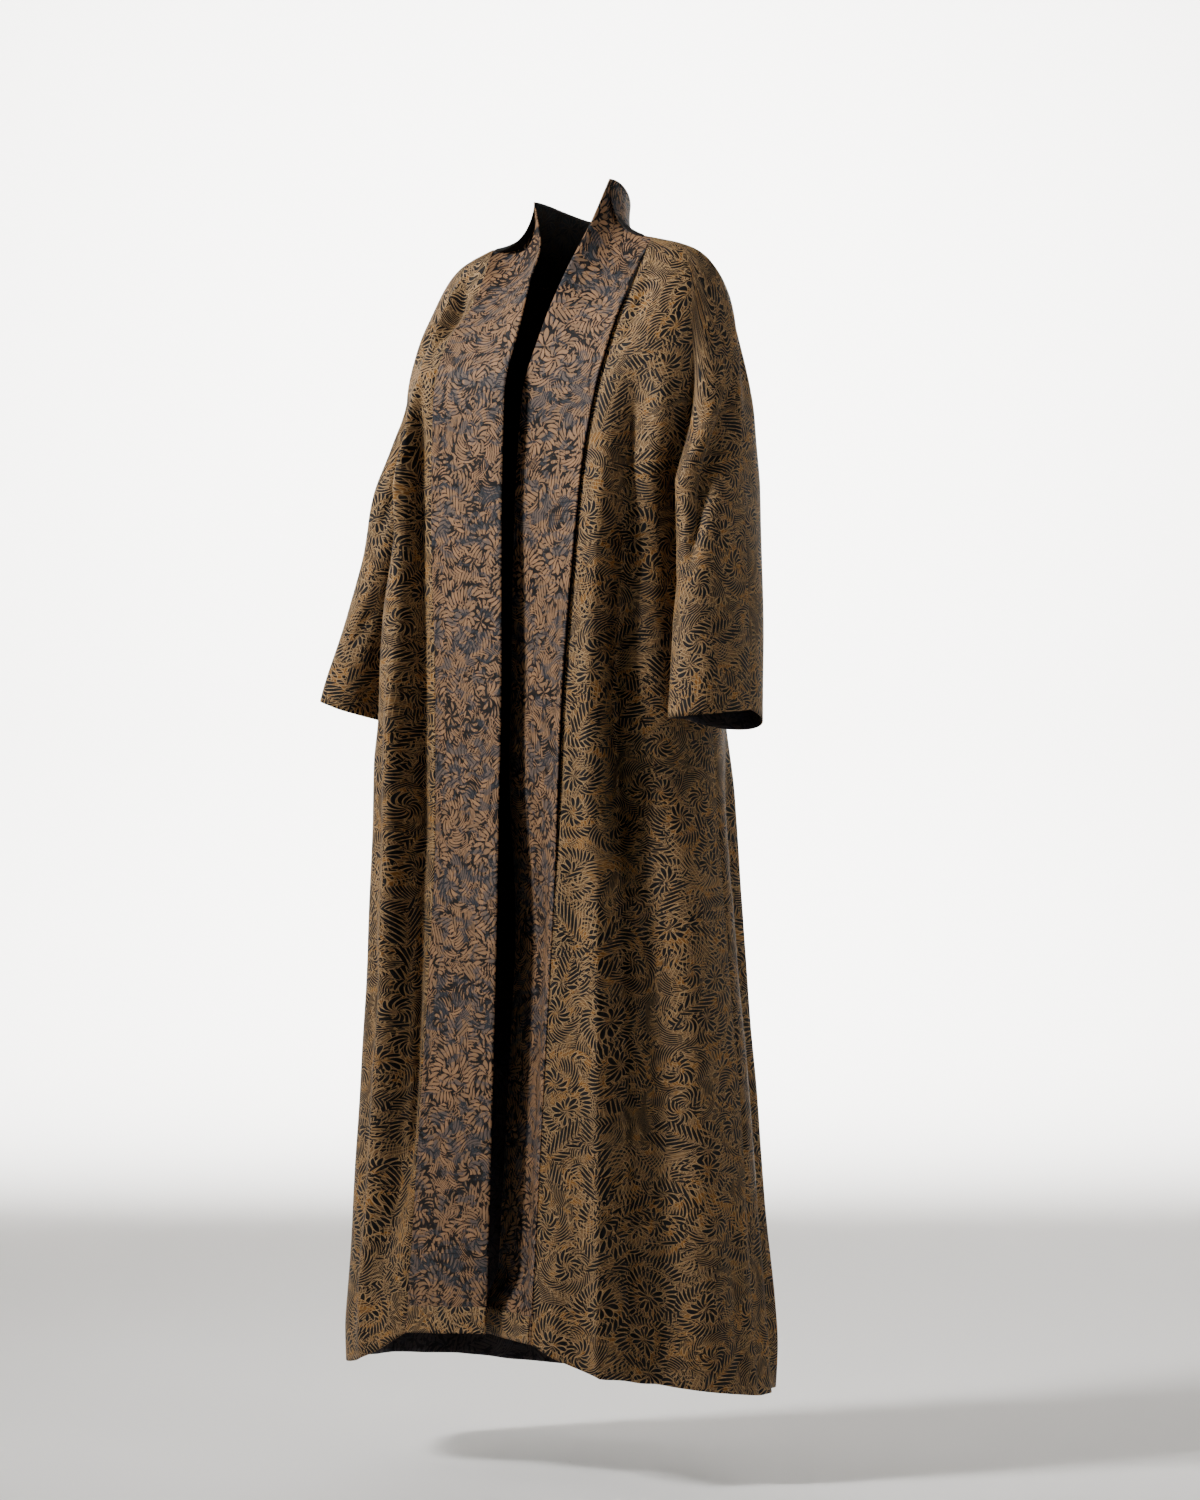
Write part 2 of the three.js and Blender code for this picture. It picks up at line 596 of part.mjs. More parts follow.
// Turns a sheet into a closed wall. Its points are the wall's outer face, thickness goes inwards,
// and along a seam each piece draws back by half of the seam's gap.
function wall(part, thickness, normals, seams) {
  const { points, triangles } = part;
  const edges = openEdges(part);
  const normalOf = (id) => normals.get(weldKey(points[id]));
  const back = points.map(() => []);
  for (const { a, b, normal } of edges) {
    if (seams.get(seamKey(points[a], points[b])) < 2) continue;
    const along = points[b].clone().sub(points[a]);
    const inwards = normal.clone().cross(along).normalize();
    for (const id of [a, b]) back[id].push(inwards);
  }
  const outer = points.map((point, id) => {
    const moved = point.clone();
    if (back[id].length === 1) moved.addScaledVector(back[id][0], SEAM_GAP / 2);
    if (back[id].length === 2) {
      const [first, second] = back[id];
      const mitre = Math.max(1 + first.dot(second), SHARPEST_MITRE);
      moved.addScaledVector(first.clone().add(second), SEAM_GAP / 2 / mitre);
    }
    return moved;
  });
  const inner = outer.map((point, id) => point.clone().addScaledVector(normalOf(id), -thickness));
  const count = points.length;
  const faces = [
    ...triangles,
    ...triangles.map(([a, b, c]) => [c + count, b + count, a + count]),
    ...edges.flatMap(({ a, b }) => edgeFaces(a, b, count, weldKey(points[a]) < weldKey(points[b]))),
  ];
  const geometry = new THREE.BufferGeometry();
  const places = [...outer, ...inner].flatMap((point) => [point.x, point.y, point.z]);
  geometry.setAttribute('position', new THREE.Float32BufferAttribute(places, 3));
  geometry.setIndex(faces.flat());
  geometry.computeVertexNormals();
  return geometry;
}

// How many sheets share each open edge: two along a seam, one at the hem, cuffs and opening.
function seamCount(parts) {
  const count = new Map();
  for (const part of parts) {
    for (const { a, b } of openEdges(part)) {
      const key = seamKey(part.points[a], part.points[b]);
      count.set(key, (count.get(key) ?? 0) + 1);
    }
  }
  return count;
}

// The face and the reverse of the cloth.
const faceCloth = { color: 0x5a4a2c, roughness: 0.62, metalness: 0 };
const reverseCloth = { color: 0x3d332c, roughness: 0.6, metalness: 0 };

function frontSheet(side) {
  const sheet = new Sheet(`front_${side}`, CLOTH_THICKNESS);
  addPanel(sheet, 'front', side, BODY_COLUMNS);
  return sheet;
}

function backSheet() {
  const sheet = new Sheet('back', CLOTH_THICKNESS);
  for (const side of SIDES) addPanel(sheet, 'back', side, BACK_COLUMNS);
  return sheet;
}

function bandSheet(side) {
  const sheet = new Sheet(`band_${side}`, CLOTH_THICKNESS);
  sheet.addGrid(bandRows(side), side === 'left');
  return sheet;
}

// The strip of face cloth turned up over the foot of a band: the band's own points, moved out.
function turnupSheet(side) {
  const sheet = new Sheet(`turnup_${side}`, TURNUP_THICKNESS);
  const rows = steps(2).map((share) => {
    const z = HEM[side].seam + TURNUP_DEPTH * (1 - share);
    return bandFrontRow(side, z, BAND_COLUMNS);
  });
  const outwards = SEAM_GAP + TURNUP_THICKNESS;
  const moved = rows.map((row) => {
    const across = row[row.length - 1].clone().sub(row[0]).normalize();
    const outward = vec(0, 0, 1).cross(across).normalize().multiplyScalar(SHAPE[side].sign);
    const inset = across.clone().multiplyScalar(TURNUP_INSET);
    return row.map((point, i) => {
      const share = 1 - i / (row.length - 1);
      return point.clone().addScaledVector(outward, outwards).addScaledVector(inset, share);
    });
  });
  sheet.addGrid(moved, side === 'left');
  return sheet;
}

function makeGarment() {
  const garment = new THREE.Group();
  const sewn = [...SIDES.map(frontSheet), backSheet(), ...SIDES.map(bandSheet)];
  const laidOn = SIDES.map(turnupSheet);
  const addPieces = (sheets) => {
    const parts = sheets.map(triangulate);
    const normals = sharedNormals(parts);
    const seams = seamCount(parts);
    sheets.forEach((sheet, i) => {
      const look = sheet.name.startsWith('band') ? reverseCloth : faceCloth;
      const geometry = wall(parts[i], sheet.thickness, normals, seams);
      const mesh = new THREE.Mesh(geometry, new THREE.MeshStandardMaterial(look));
      mesh.name = sheet.name;
      garment.add(mesh);
    });
  };
  addPieces(sewn);
  for (const sheet of laidOn) addPieces([sheet]);
  return garment;
}

export default makeGarment();
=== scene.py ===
# %% [markdown]
# # An open-front abaya in thick jacquard cloth
# The garment is hollow and keeps its worn shape. It is cut in the kimono way: each front and the
# back run on into the sleeves with no armhole seam, and a long band with the cloth's reverse side
# out follows the opening from hem to hem, round the back of the neck.
# Every cloth piece here is a thin shell on the same sections that its solid has, with finer folds.
# Lengths in the tables are millimetres, and everything that goes into Blender is in metres.

# %% Load the frame
import math
import bmesh
import bpy
import numpy as np
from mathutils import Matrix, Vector


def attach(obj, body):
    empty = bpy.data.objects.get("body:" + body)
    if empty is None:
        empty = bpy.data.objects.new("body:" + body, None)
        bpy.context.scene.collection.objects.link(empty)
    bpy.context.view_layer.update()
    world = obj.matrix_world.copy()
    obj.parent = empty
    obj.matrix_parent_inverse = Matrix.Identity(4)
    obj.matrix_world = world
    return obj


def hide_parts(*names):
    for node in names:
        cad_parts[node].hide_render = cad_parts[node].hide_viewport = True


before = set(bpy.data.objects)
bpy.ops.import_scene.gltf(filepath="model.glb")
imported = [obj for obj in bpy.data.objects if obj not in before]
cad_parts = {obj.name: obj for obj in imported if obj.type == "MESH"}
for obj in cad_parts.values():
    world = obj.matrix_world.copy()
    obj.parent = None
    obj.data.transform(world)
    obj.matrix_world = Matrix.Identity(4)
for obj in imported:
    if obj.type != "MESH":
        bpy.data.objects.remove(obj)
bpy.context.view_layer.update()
MM = 0.001
print("nodes:", sorted(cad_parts))

# %% [markdown]
# ## The worn shape as tables of sections
# A worn garment is easiest to give as sections at a few heights. Each table has a row for each
# height and a named column for each size, and a smooth curve runs through every column. The band has
# two edges: the seam that joins it to the front, and the free edge at the opening.

# %% Single sizes
LEFT, RIGHT = "left", "right"
SIDES = (LEFT, RIGHT)
SIGN = {LEFT: 1, RIGHT: -1}
CLOTH_THICKNESS = 1.6
TURNUP_DEPTH = 34
TURNUP_THICKNESS = 1.6
TURNUP_INSET = 3
TURNUP_ROWS = 10
SEAM_GAP = 0.3
UNDERARM_Z = -310
SHOULDER_TIP_Z = -60
BACK_NECK_Z = -78
BACK_COLLAR_EDGE_Z = 36
BACK_COLLAR_EDGE_Y = 101
BACK_HEM_Z = -1450
YOKE_BODY_SHARE = 0.62
CREASE_ONSET = 1.7
FOLD_FADE = 140
FOLD_EDGE = 22
SLEEVE_ROUNDNESS = 0.85
# The band's outer edge: how its lip fades in and out, and how far the front drops under it.
LIP_TOP_FADE = 60
LIP_FOOT_FADE = 200
LIP_DROP_SHARE = 0.8
LIP_DROP_WIDTH = 6
# The cuff's height at the inner seam, the front, the outer seam and the back, and the hem's height
# at the band seam, in the middle of the front and at the side seam.
CUFF = {LEFT: (-603, -600, -592, -616), RIGHT: (-606, -584, -562, -592)}
HEM = {LEFT: (-1371, -1416, -1438), RIGHT: (-1372, -1420, -1432)}

# %% The band of each side, from the side of the neck down to the hem
BAND_COLUMNS = ("seam_x", "seam_y", "seam_z", "edge_x", "edge_y", "edge_z", "hollow")
BAND = {
    LEFT: [
        (123, 0, 3, 66, -8, 79, 24),
        (129, -30, -24, 53, -33, 22, 21),
        (129, -62, -65, 33, -60, -40, 14),
        (124, -98, -130, 12, -86, -118, 6),
        (113, -116, -197, -5, -101, -195, 1),
        (105, -140, -324, -14, -104, -324, -3),
        (87, -150, -578, -29, -92, -578, -4),
        (81, -152, -730, -33, -93, -730, -4),
        (68, -165, -1080, -43, -108, -1080, -3),
        (60, -180, -1371, -50, -125, -1368, -3),
    ],
    RIGHT: [
        (-119, -2, 1, -61, 8, 60, 22),
        (-118, -20, -33, -42, -6, 8, 16),
        (-119, -46, -75, -26, -52, -45, 8),
        (-128, -88, -130, -15, -96, -115, 2),
        (-134, -107, -197, -12, -132, -195, -3),
        (-136, -109, -324, -13, -136, -324, -4),
        (-135, -105, -578, -10, -142, -578, -4),
        (-135, -105, -730, -11, -146, -730, -4),
        (-133, -120, -900, -11, -152, -900, -3),
        (-134, -138, -1080, -11, -160, -1080, -2),
        (-137, -167, -1372, -12, -172, -1364, -2),
    ],
}

# %% The shoulder and overarm line, and the side seam with the crease above the underarm
OVERARM_COLUMNS = ("z", "x", "y")
OVERARM = {
    LEFT: [
        (3, 123, 0),
        (-6, 160, 7),
        (-16, 184, 11),
        (-32, 202, 14),
        (-60, 218, 15),
        (-137, 243, 6),
        (-200, 260, -12),
        (-310, 281, -40),
    ],
    RIGHT: [
        (1, -119, -2),
        (-10, -152, 5),
        (-20, -173, 10),
        (-36, -190, 14),
        (-60, -203, 16),
        (-137, -226, 18),
        (-200, -245, 19),
        (-310, -280, 19),
    ],
}

SIDE_COLUMNS = ("z", "x", "y")
SIDE = {
    LEFT: [
        (3, 120, 4),
        (-60, 182, 4),
        (-200, 194, -8),
        (-310, 199, -20),
        (-400, 204, -6),
        (-500, 208, 0),
        (-617, 214, 0),
        (-730, 222, 0),
        (-893, 236, 0),
        (-1074, 254, 0),
        (-1318, 271, 0),
        (-1445, 282, 0),
    ],
    RIGHT: [
        (1, -116, 4),
        (-60, -182, 10),
        (-200, -194, 10),
        (-310, -200, 10),
        (-400, -211, 8),
        (-500, -230, 8),
        (-617, -250, 8),
        (-730, -256, 8),
        (-893, -266, 8),
        (-1074, -278, 8),
        (-1318, -300, 8),
        (-1445, -312, 8),
    ],
}

# %% The centre back, and the sleeves from the underarm to the cuff
# inner and outer are the sleeve's seams, front and back are how far its halves stand out.
CENTRE_BACK_COLUMNS = ("z", "y")
CENTRE_BACK = [
    (-78, 102),
    (-130, 118),
    (-200, 128),
    (-310, 130),
    (-500, 126),
    (-617, 130),
    (-730, 140),
    (-893, 148),
    (-1074, 158),
    (-1318, 168),
    (-1450, 174),
]

SLEEVE_COLUMNS = ("z", "inner_x", "inner_y", "outer_x", "outer_y", "front", "back")
SLEEVE = {
    LEFT: [
        (-60, None, None, None, None, 70, 62),
        (-310, 199, -20, 281, -40, 84, 76),
        (-400, 212, -44, 292, -50, 82, 74),
        (-500, 220, -68, 303, -62, 80, 72),
        (-590, 224, -88, 311, -72, 76, 70),
    ],
    RIGHT: [
        (-60, None, None, None, None, 66, 60),
        (-310, -200, 10, -280, 19, 84, 76),
        (-400, -222, 8, -303, 14, 82, 74),
        (-500, -251, 2, -334, 4, 80, 72),
        (-590, -275, -8, -362, -8, 78, 68),
    ],
}

# %% How the fronts swing out between the band and the side seam
FRONT_SWING_COLUMNS = ("z", "start_x", "start_y", "end_y")
FRONT_SWING = {
    LEFT: [
        (3, 6, 0, 6),
        (-60, 40, -8, 50),
        (-200, 62, -6, 80),
        (-310, 62, 2, 75),
        (-617, 62, 8, 90),
        (-1074, 90, 8, 100),
        (-1445, 110, 6, 110),
    ],
    RIGHT: [
        (1, 6, 0, 6),
        (-60, 36, -22, 46),
        (-200, 60, -42, 80),
        (-310, 66, -48, 90),
        (-617, 74, -48, 100),
        (-1074, 76, -30, 104),
        (-1445, 84, -12, 112),
    ],
}

# %% The largest folds, in each panel's own share of the way across (u)
FOLDS_COLUMNS = ("name", "from_u", "from_z", "to_u", "to_z", "width", "depth")
FOLDS = {
    "front_left": [
        ("valley by the collar", 0.3, -20, 0.13, -150, 16, -9),
        ("pressed ridge", 0.2, -470, 0.3, -1500, 15, 11),
        ("valley beside the ridge", 0.38, -560, 0.47, -1500, 26, -9),
        ("side roll", 0.74, -700, 0.72, -1500, 30, 7),
    ],
    "front_right": [
        ("valley by the band", 0.17, -150, 0.14, -1330, 22, -24),
        ("column crest", 0.5, -330, 0.46, -1500, 34, 9),
        ("side valley", 0.8, -640, 0.78, -1500, 26, -10),
    ],
    "back_left": [
        ("shoulder blade fold", 0.55, -170, 0.5, -1500, 34, 9),
        ("back valley", 0.28, -420, 0.3, -1500, 34, -12),
        ("rear side valley", 0.78, -620, 0.76, -1500, 24, -11),
    ],
    "back_right": [
        ("shoulder blade fold", 0.5, -190, 0.48, -1500, 34, 9),
        ("back valley", 0.24, -460, 0.27, -1500, 32, -11),
        ("rear side valley", 0.74, -640, 0.73, -1500, 26, -10),
    ],
}

# %% The shell's own finer folds
FINE_SHARE = 0.8
FINE_EDGE = 7
SEAM_DIP = 1.4
SEAM_DIP_WIDTH = 5
SEEDS = {"front_left": 0.4, "front_right": 1.7, "back_left": 2.9, "back_right": 4.3}
FINE_FOLDS = {
    "front_left": [
        ("long valley", 0.38, -130, 0.4, -860, 25, -29),
        ("long roll", 0.2, -220, 0.17, -640, 17, 7),
        ("shade side of the ridge", 0.49, -560, 0.53, -1500, 40, -22),
        ("crisp edge of the ridge", 0.26, -440, 0.3, -1500, 6, 11),
        ("beside the crisp edge", 0.34, -440, 0.38, -1500, 15, -20),
        ("drag to the underarm", 0.86, -190, 0.74, -430, 13, -6),
        ("roll above the underarm", 0.7, -150, 0.62, -330, 16, 4),
        ("waist dent", 0.5, -520, 0.62, -640, 22, -4),
        ("waist dent", 0.72, -600, 0.8, -760, 16, -4),
        ("front crease", 0.12, -760, 0.18, -960, 10, -3),
        ("hem flute", 0.1, -1180, 0.1, -1500, 14, 5),
        ("hem flute", 0.56, -1240, 0.6, -1500, 18, 5),
        ("hem flute", 0.88, -1120, 0.9, -1500, 12, -5),
    ],
    "front_right": [
        ("valley by the collar", 0.34, -10, 0.18, -170, 12, -9),
        ("deep valley", 0.075, -210, 0.065, -1260, 11, -24),
        ("crest before the valley", 0.27, -420, 0.25, -1420, 14, 9),
        ("pressed edge", 0.55, -20, 0.22, -150, 7, 17),
        ("pressed edge, lower", 0.23, -130, 0.38, -400, 7, 16),
        ("before the pressed edge", 0.34, -40, 0.1, -150, 11, -10),
        ("valley behind the edge", 0.8, -40, 0.42, -170, 13, -18),
        ("valley behind the edge, lower", 0.44, -150, 0.62, -440, 13, -15),
        ("drag to the underarm", 0.88, -200, 0.76, -420, 12, -5),
        ("lit column", 0.3, -480, 0.28, -1460, 12, 6),
        ("waist dent", 0.62, -520, 0.52, -660, 24, -4),
        ("low crease", 0.3, -860, 0.36, -1040, 16, -3),
        ("hem flute", 0.28, -1200, 0.3, -1500, 18, 5),
        ("hem flute", 0.62, -1160, 0.62, -1500, 14, -5),
        ("hem flute", 0.9, -1240, 0.92, -1500, 12, 4),
    ],
    "back_left": [
        ("drag from the neck", 0.2, -110, 0.36, -300, 26, -6),
        ("long rear fold", 0.16, -480, 0.18, -1500, 20, 12),
        ("long rear valley", 0.44, -380, 0.42, -1500, 18, -14),
        ("rear roll", 0.66, -560, 0.66, -1500, 14, 9),
        ("drag to the underarm", 0.9, -200, 0.8, -420, 13, -6),
        ("waist dent", 0.62, -470, 0.54, -600, 22, -5),
        ("rear crease", 0.86, -760, 0.8, -900, 13, -6),
        ("rear crease", 0.7, -850, 0.82, -980, 15, -5),
        ("hem flute", 0.12, -1180, 0.12, -1500, 26, 7),
        ("hem flute", 0.42, -1100, 0.43, -1500, 20, -7),
        ("hem flute", 0.64, -1200, 0.65, -1500, 18, 7),
        ("hem flute", 0.9, -1150, 0.9, -1500, 13, 5),
    ],
    "back_right": [
        ("drag from the neck", 0.22, -120, 0.34, -310, 24, -6),
        ("long rear fold", 0.1, -560, 0.12, -1500, 18, 9),
        ("long rear valley", 0.38, -420, 0.4, -1500, 20, -15),
        ("rear roll", 0.6, -500, 0.58, -1500, 13, 10),
        ("drag to the underarm", 0.88, -210, 0.78, -430, 13, -6),
        ("waist dent", 0.6, -490, 0.5, -620, 22, -4),
        ("rear crease", 0.8, -800, 0.72, -930, 16, -5),
        ("hem flute", 0.1, -1220, 0.1, -1500, 22, 6),
        ("hem flute", 0.4, -1120, 0.41, -1500, 20, -6),
        ("hem flute", 0.62, -1180, 0.62, -1500, 18, 6),
        ("hem flute", 0.88, -1200, 0.88, -1500, 13, 5),
    ],
}
SLEEVE_FOLDS = {
    "front_left": [
        ("elbow fold", 1.02, -140, 0.46, -460, 15, -24),
        ("elbow roll", 0.8, -170, 0.3, -400, 14, 7),
        ("forearm fold", 0.2, -400, 0.44, -520, 12, -4),
        ("cuff wave", 0.7, -480, 0.66, -640, 16, 4),
    ],
    "front_right": [
        ("under the shoulder", 0.8, -90, 0.55, -250, 24, -11),
        ("elbow fold", 0.3, -240, 0.56, -430, 14, -7),
        ("elbow roll", 0.56, -230, 0.74, -400, 15, 5),
        ("forearm fold", 0.3, -430, 0.48, -540, 13, -5),
        ("cuff wave", 0.64, -470, 0.6, -640, 16, 5),
    ],
    "back_left": [
        ("shoulder dent", 0.5, -60, 1.0, -250, 14, -12),
        ("elbow fold", 0.34, -250, 0.6, -400, 14, -7),
        ("elbow fold", 0.24, -340, 0.5, -460, 12, -6),
        ("cuff wave", 0.5, -480, 0.5, -650, 18, 4),
    ],
    "back_right": [
        ("elbow fold", 0.36, -260, 0.6, -420, 14, -7),
        ("elbow fold", 0.26, -350, 0.48, -470, 12, -5),
        ("cuff wave", 0.5, -470, 0.5, -650, 18, 4),
    ],
}

# %% Smooth curves through the tables
# A curve that keeps a column's own highs and lows: it never swings past the values in the table.
def column_curve(columns, rows, at, column):
    i, j = columns.index(at), columns.index(column)
    known = [(row[i], row[j]) for row in rows if row[j] is not None]
    known.sort()
    xs = np.array([x for x, _ in known], float)
    ys = np.array([y for _, y in known], float)
    chord = np.diff(ys) / np.diff(xs)
    slopes = np.empty_like(ys)
    slopes[0], slopes[-1] = chord[0], chord[-1]
    for k in range(1, len(xs) - 1):
        before, after = xs[k] - xs[k - 1], xs[k + 1] - xs[k]
        if chord[k - 1] * chord[k] <= 0:
            slopes[k] = 0
            continue
        heavy, light = 2 * after + before, after + 2 * before
        slopes[k] = (heavy + light) / (heavy / chord[k - 1] + light / chord[k])

    def value(x):
        x = np.clip(np.asarray(x, float), xs[0], xs[-1])
        k = np.clip(np.searchsorted(xs, x) - 1, 0, len(xs) - 2)
        span = xs[k + 1] - xs[k]
        t = (x - xs[k]) / span
        ends = ys[k] * (1 + 2 * t) * (1 - t) ** 2 + ys[k + 1] * t * t * (3 - 2 * t)
        return ends + slopes[k] * span * t * (1 - t) ** 2 - slopes[k + 1] * span * t * t * (1 - t)

    return value


def tracks(columns, rows, at):
    return {name: column_curve(columns, rows, at, name) for name in columns if name != at}


def smooth(t):
    s = np.clip(t, 0, 1)
    return s * s * (3 - 2 * s)


def points(x, y, z):
    return np.stack(np.broadcast_arrays(x, y, z), axis=-1).astype(float)


def bezier(p0, p1, p2, p3, t):
    t = np.asarray(t)[..., None]
    return p0 * (1 - t) ** 3 + 3 * p1 * t * (1 - t) ** 2 + 3 * p2 * t * t * (1 - t) + p3 * t**3


SHAPE = {}
for side in SIDES:
    rows, run = [], 0.0
    for i, row in enumerate(BAND[side]):
        if i:
            run += math.dist(row[:3], BAND[side][i - 1][:3])
        rows.append((*row, run))
    SHAPE[side] = {
        "band": tracks((*BAND_COLUMNS, "run"), rows, "run"),
        "run_at": column_curve((*BAND_COLUMNS, "run"), rows, "seam_z", "run"),
        "overarm": tracks(OVERARM_COLUMNS, OVERARM[side], "z"),
        "side": tracks(SIDE_COLUMNS, SIDE[side], "z"),
        "sleeve": tracks(SLEEVE_COLUMNS, SLEEVE[side], "z"),
        "swing": tracks(FRONT_SWING_COLUMNS, FRONT_SWING[side], "z"),
        "neck_z": BAND[side][0][2],
    }
centre_back_y = column_curve(CENTRE_BACK_COLUMNS, CENTRE_BACK, "z", "y")
print("band length, left:", round(rows[-1][-1]), "mm")

# %% [markdown]
# ## Sections of the fronts, the back and the sleeves
# Below the underarm each panel is a curve from its inner seam to its side seam, and each sleeve is
# two half tubes. Above the underarm the same curves melt into one yoke that runs from the band, over
# the chest or the back, out to the overarm line. The crease between body and sleeve opens on the way
# down, as it does on a kimono cut, which has no armhole seam to hold it.


# %% The sections
def seam_point(side, z):
    shape = SHAPE[side]
    run = shape["run_at"](z)
    return points(shape["band"]["seam_x"](run), shape["band"]["seam_y"](run), z)


def side_point(side, z):
    return points(SHAPE[side]["side"]["x"](z), SHAPE[side]["side"]["y"](z), z)


def overarm_point(side, z):
    return points(SHAPE[side]["overarm"]["x"](z), SHAPE[side]["overarm"]["y"](z), z)


def crease_open(z):
    share = (SHOULDER_TIP_Z - z) / (SHOULDER_TIP_Z - UNDERARM_Z)
    return np.clip(share, 0, 1) ** CREASE_ONSET


def front_body(side, z, t):
    swing, sign = SHAPE[side]["swing"], SIGN[side]
    start, end = seam_point(side, z), side_point(side, z)
    leave = start + points(sign * swing["start_x"](z), swing["start_y"](z), 0 * z)
    arrive = end + points(0 * z, -swing["end_y"](z), 0 * z)
    return bezier(start, leave, arrive, end, t)


def back_body(side, z, t):
    start, end = points(0 * z, centre_back_y(z), z), side_point(side, z)
    leave = points((end[..., 0] - start[..., 0]) * 0.58, start[..., 1], z)
    arrive = points(end[..., 0], end[..., 1] + (start[..., 1] - end[..., 1]) * 0.55, z)
    return bezier(start, leave, arrive, end, t)


def sleeve_point(kind, side, z, t):
    sleeve = SHAPE[side]["sleeve"]
    above = (z >= UNDERARM_Z)[..., None]
    inner = np.where(above, side_point(side, z), points(sleeve["inner_x"](z), sleeve["inner_y"](z), z))
    outer = np.where(above, overarm_point(side, z), points(sleeve["outer_x"](z), sleeve["outer_y"](z), z))
    reach = -sleeve["front"](z) if kind == "front" else sleeve["back"](z)
    turn = np.pi * t
    stand = reach * np.clip(np.sin(turn), 0, 1) ** SLEEVE_ROUNDNESS
    return (inner + outer) / 2 - (outer - inner) / 2 * np.cos(turn)[..., None] + points(0 * z, stand, 0 * z)


def yoke_front(side, z, share):
    start, end = seam_point(side, z), overarm_point(side, z)
    across, deep = (end - start)[..., 0], (end - start)[..., 1]
    leave = points(start[..., 0] + across * 0.55, start[..., 1] - deep * 0.04, z)
    arrive = points(end[..., 0] - across * 0.02, end[..., 1] - deep * 0.72, z)
    return bezier(start, leave, arrive, end, share)


def yoke_back(side, z, share):
    neck_z = SHAPE[side]["neck_z"]
    middle_z = BACK_NECK_Z + (UNDERARM_Z - BACK_NECK_Z) * (neck_z - z) / (neck_z - UNDERARM_Z)
    start, end = points(0 * z, centre_back_y(middle_z), middle_z), overarm_point(side, z)
    leave = points(end[..., 0] * 0.5, start[..., 1], middle_z)
    rise = z + (middle_z - z) * 0.25
    arrive = points(end[..., 0], end[..., 1] + (start[..., 1] - end[..., 1]) * 0.6, rise)
    return bezier(start, leave, arrive, end, share)


def hem_z(kind, side, t):
    seam, middle, at_side = HEM[side]
    if kind == "back":
        return BACK_HEM_Z + (at_side - BACK_HEM_Z) * smooth(t)
    near = seam + (middle - seam) * np.sin(np.pi * np.clip(t, 0, 0.5))
    return np.where(t < 0.5, near, middle + (at_side - middle) * (t - 0.5) * 2)


def cuff_z(kind, side, t):
    inner, front, outer, back = CUFF[side]
    swell = (front if kind == "front" else back) - (inner + outer) / 2
    return inner + (outer - inner) * t + swell * np.sin(np.pi * t)


def yoke_share(limb, t):
    return t * YOKE_BODY_SHARE if limb == "body" else YOKE_BODY_SHARE + (1 - YOKE_BODY_SHARE) * t


def plain_point(kind, side, limb, down, t):
    """down is 0 at the neck, 1 at the underarm and 2 at the hem or the cuff."""
    down, t = np.broadcast_arrays(np.asarray(down, float), np.asarray(t, float))
    section = front_body if kind == "front" else back_body
    lowest = hem_z(kind, side, t) if limb == "body" else cuff_z(kind, side, t)
    low_z = UNDERARM_Z + (lowest - UNDERARM_Z) * np.clip(down - 1, 0, 1)
    neck_z = SHAPE[side]["neck_z"]
    yoke_z = neck_z + (UNDERARM_Z - neck_z) * np.clip(down, 0, 1)
    yoke = yoke_front if kind == "front" else yoke_back
    shoulder = yoke(side, yoke_z, yoke_share(limb, t))
    body_z = shoulder[..., 2] + (yoke_z - shoulder[..., 2]) * t
    if limb == "body":
        parted, low = section(side, body_z, t), section(side, low_z, t)
    else:
        parted, low = sleeve_point(kind, side, yoke_z, t), sleeve_point(kind, side, low_z - 1e-6, t)
    open_share = crease_open(yoke_z)[..., None]
    return np.where((down <= 1)[..., None], shoulder * (1 - open_share) + parted * open_share, low)


# %% [markdown]
# ## Folds
# A fold is a soft trough or ridge along a line from one place of a panel to another. The large ones
# are those of the solid, and the small ones are this shell's own: dents, drag lines and hem waves,
# uneven in length, depth and spacing.


# %% The push of the folds
def fold_push(table_rows, u, z, width):
    push = np.zeros_like(u)
    for _, from_u, from_z, to_u, to_z, half, depth in table_rows:
        along = (z - from_z) / (to_z - from_z)
        centre = from_u + (to_u - from_u) * np.clip(along, 0, 1)
        ends = smooth(np.minimum(from_z - z, z - to_z) / np.minimum(FOLD_FADE, (from_z - to_z) / 2))
        push += depth * ends * np.exp(-(((u - centre) * width / half) ** 2))
    return push


def ripple(u, z, seed):
    """Soft unevenness all over, so that no stretch of cloth is a perfect surface."""
    a = np.sin(u * 0.021 + z * 0.009 + seed) + np.sin(z * 0.017 - u * 0.013 + 2.1 * seed)
    b = np.sin(u * 0.047 - z * 0.011 + 0.7 * seed) * np.sin(z * 0.023 + 1.9 * seed)
    return 0.7 * a + 0.8 * b


def way_across(wall):
    """How far across the cloth each point is, measured along its row."""
    steps = np.linalg.norm(np.diff(wall, axis=1), axis=-1)
    return np.concatenate([np.zeros((len(wall), 1)), np.cumsum(steps, axis=1)], axis=1)


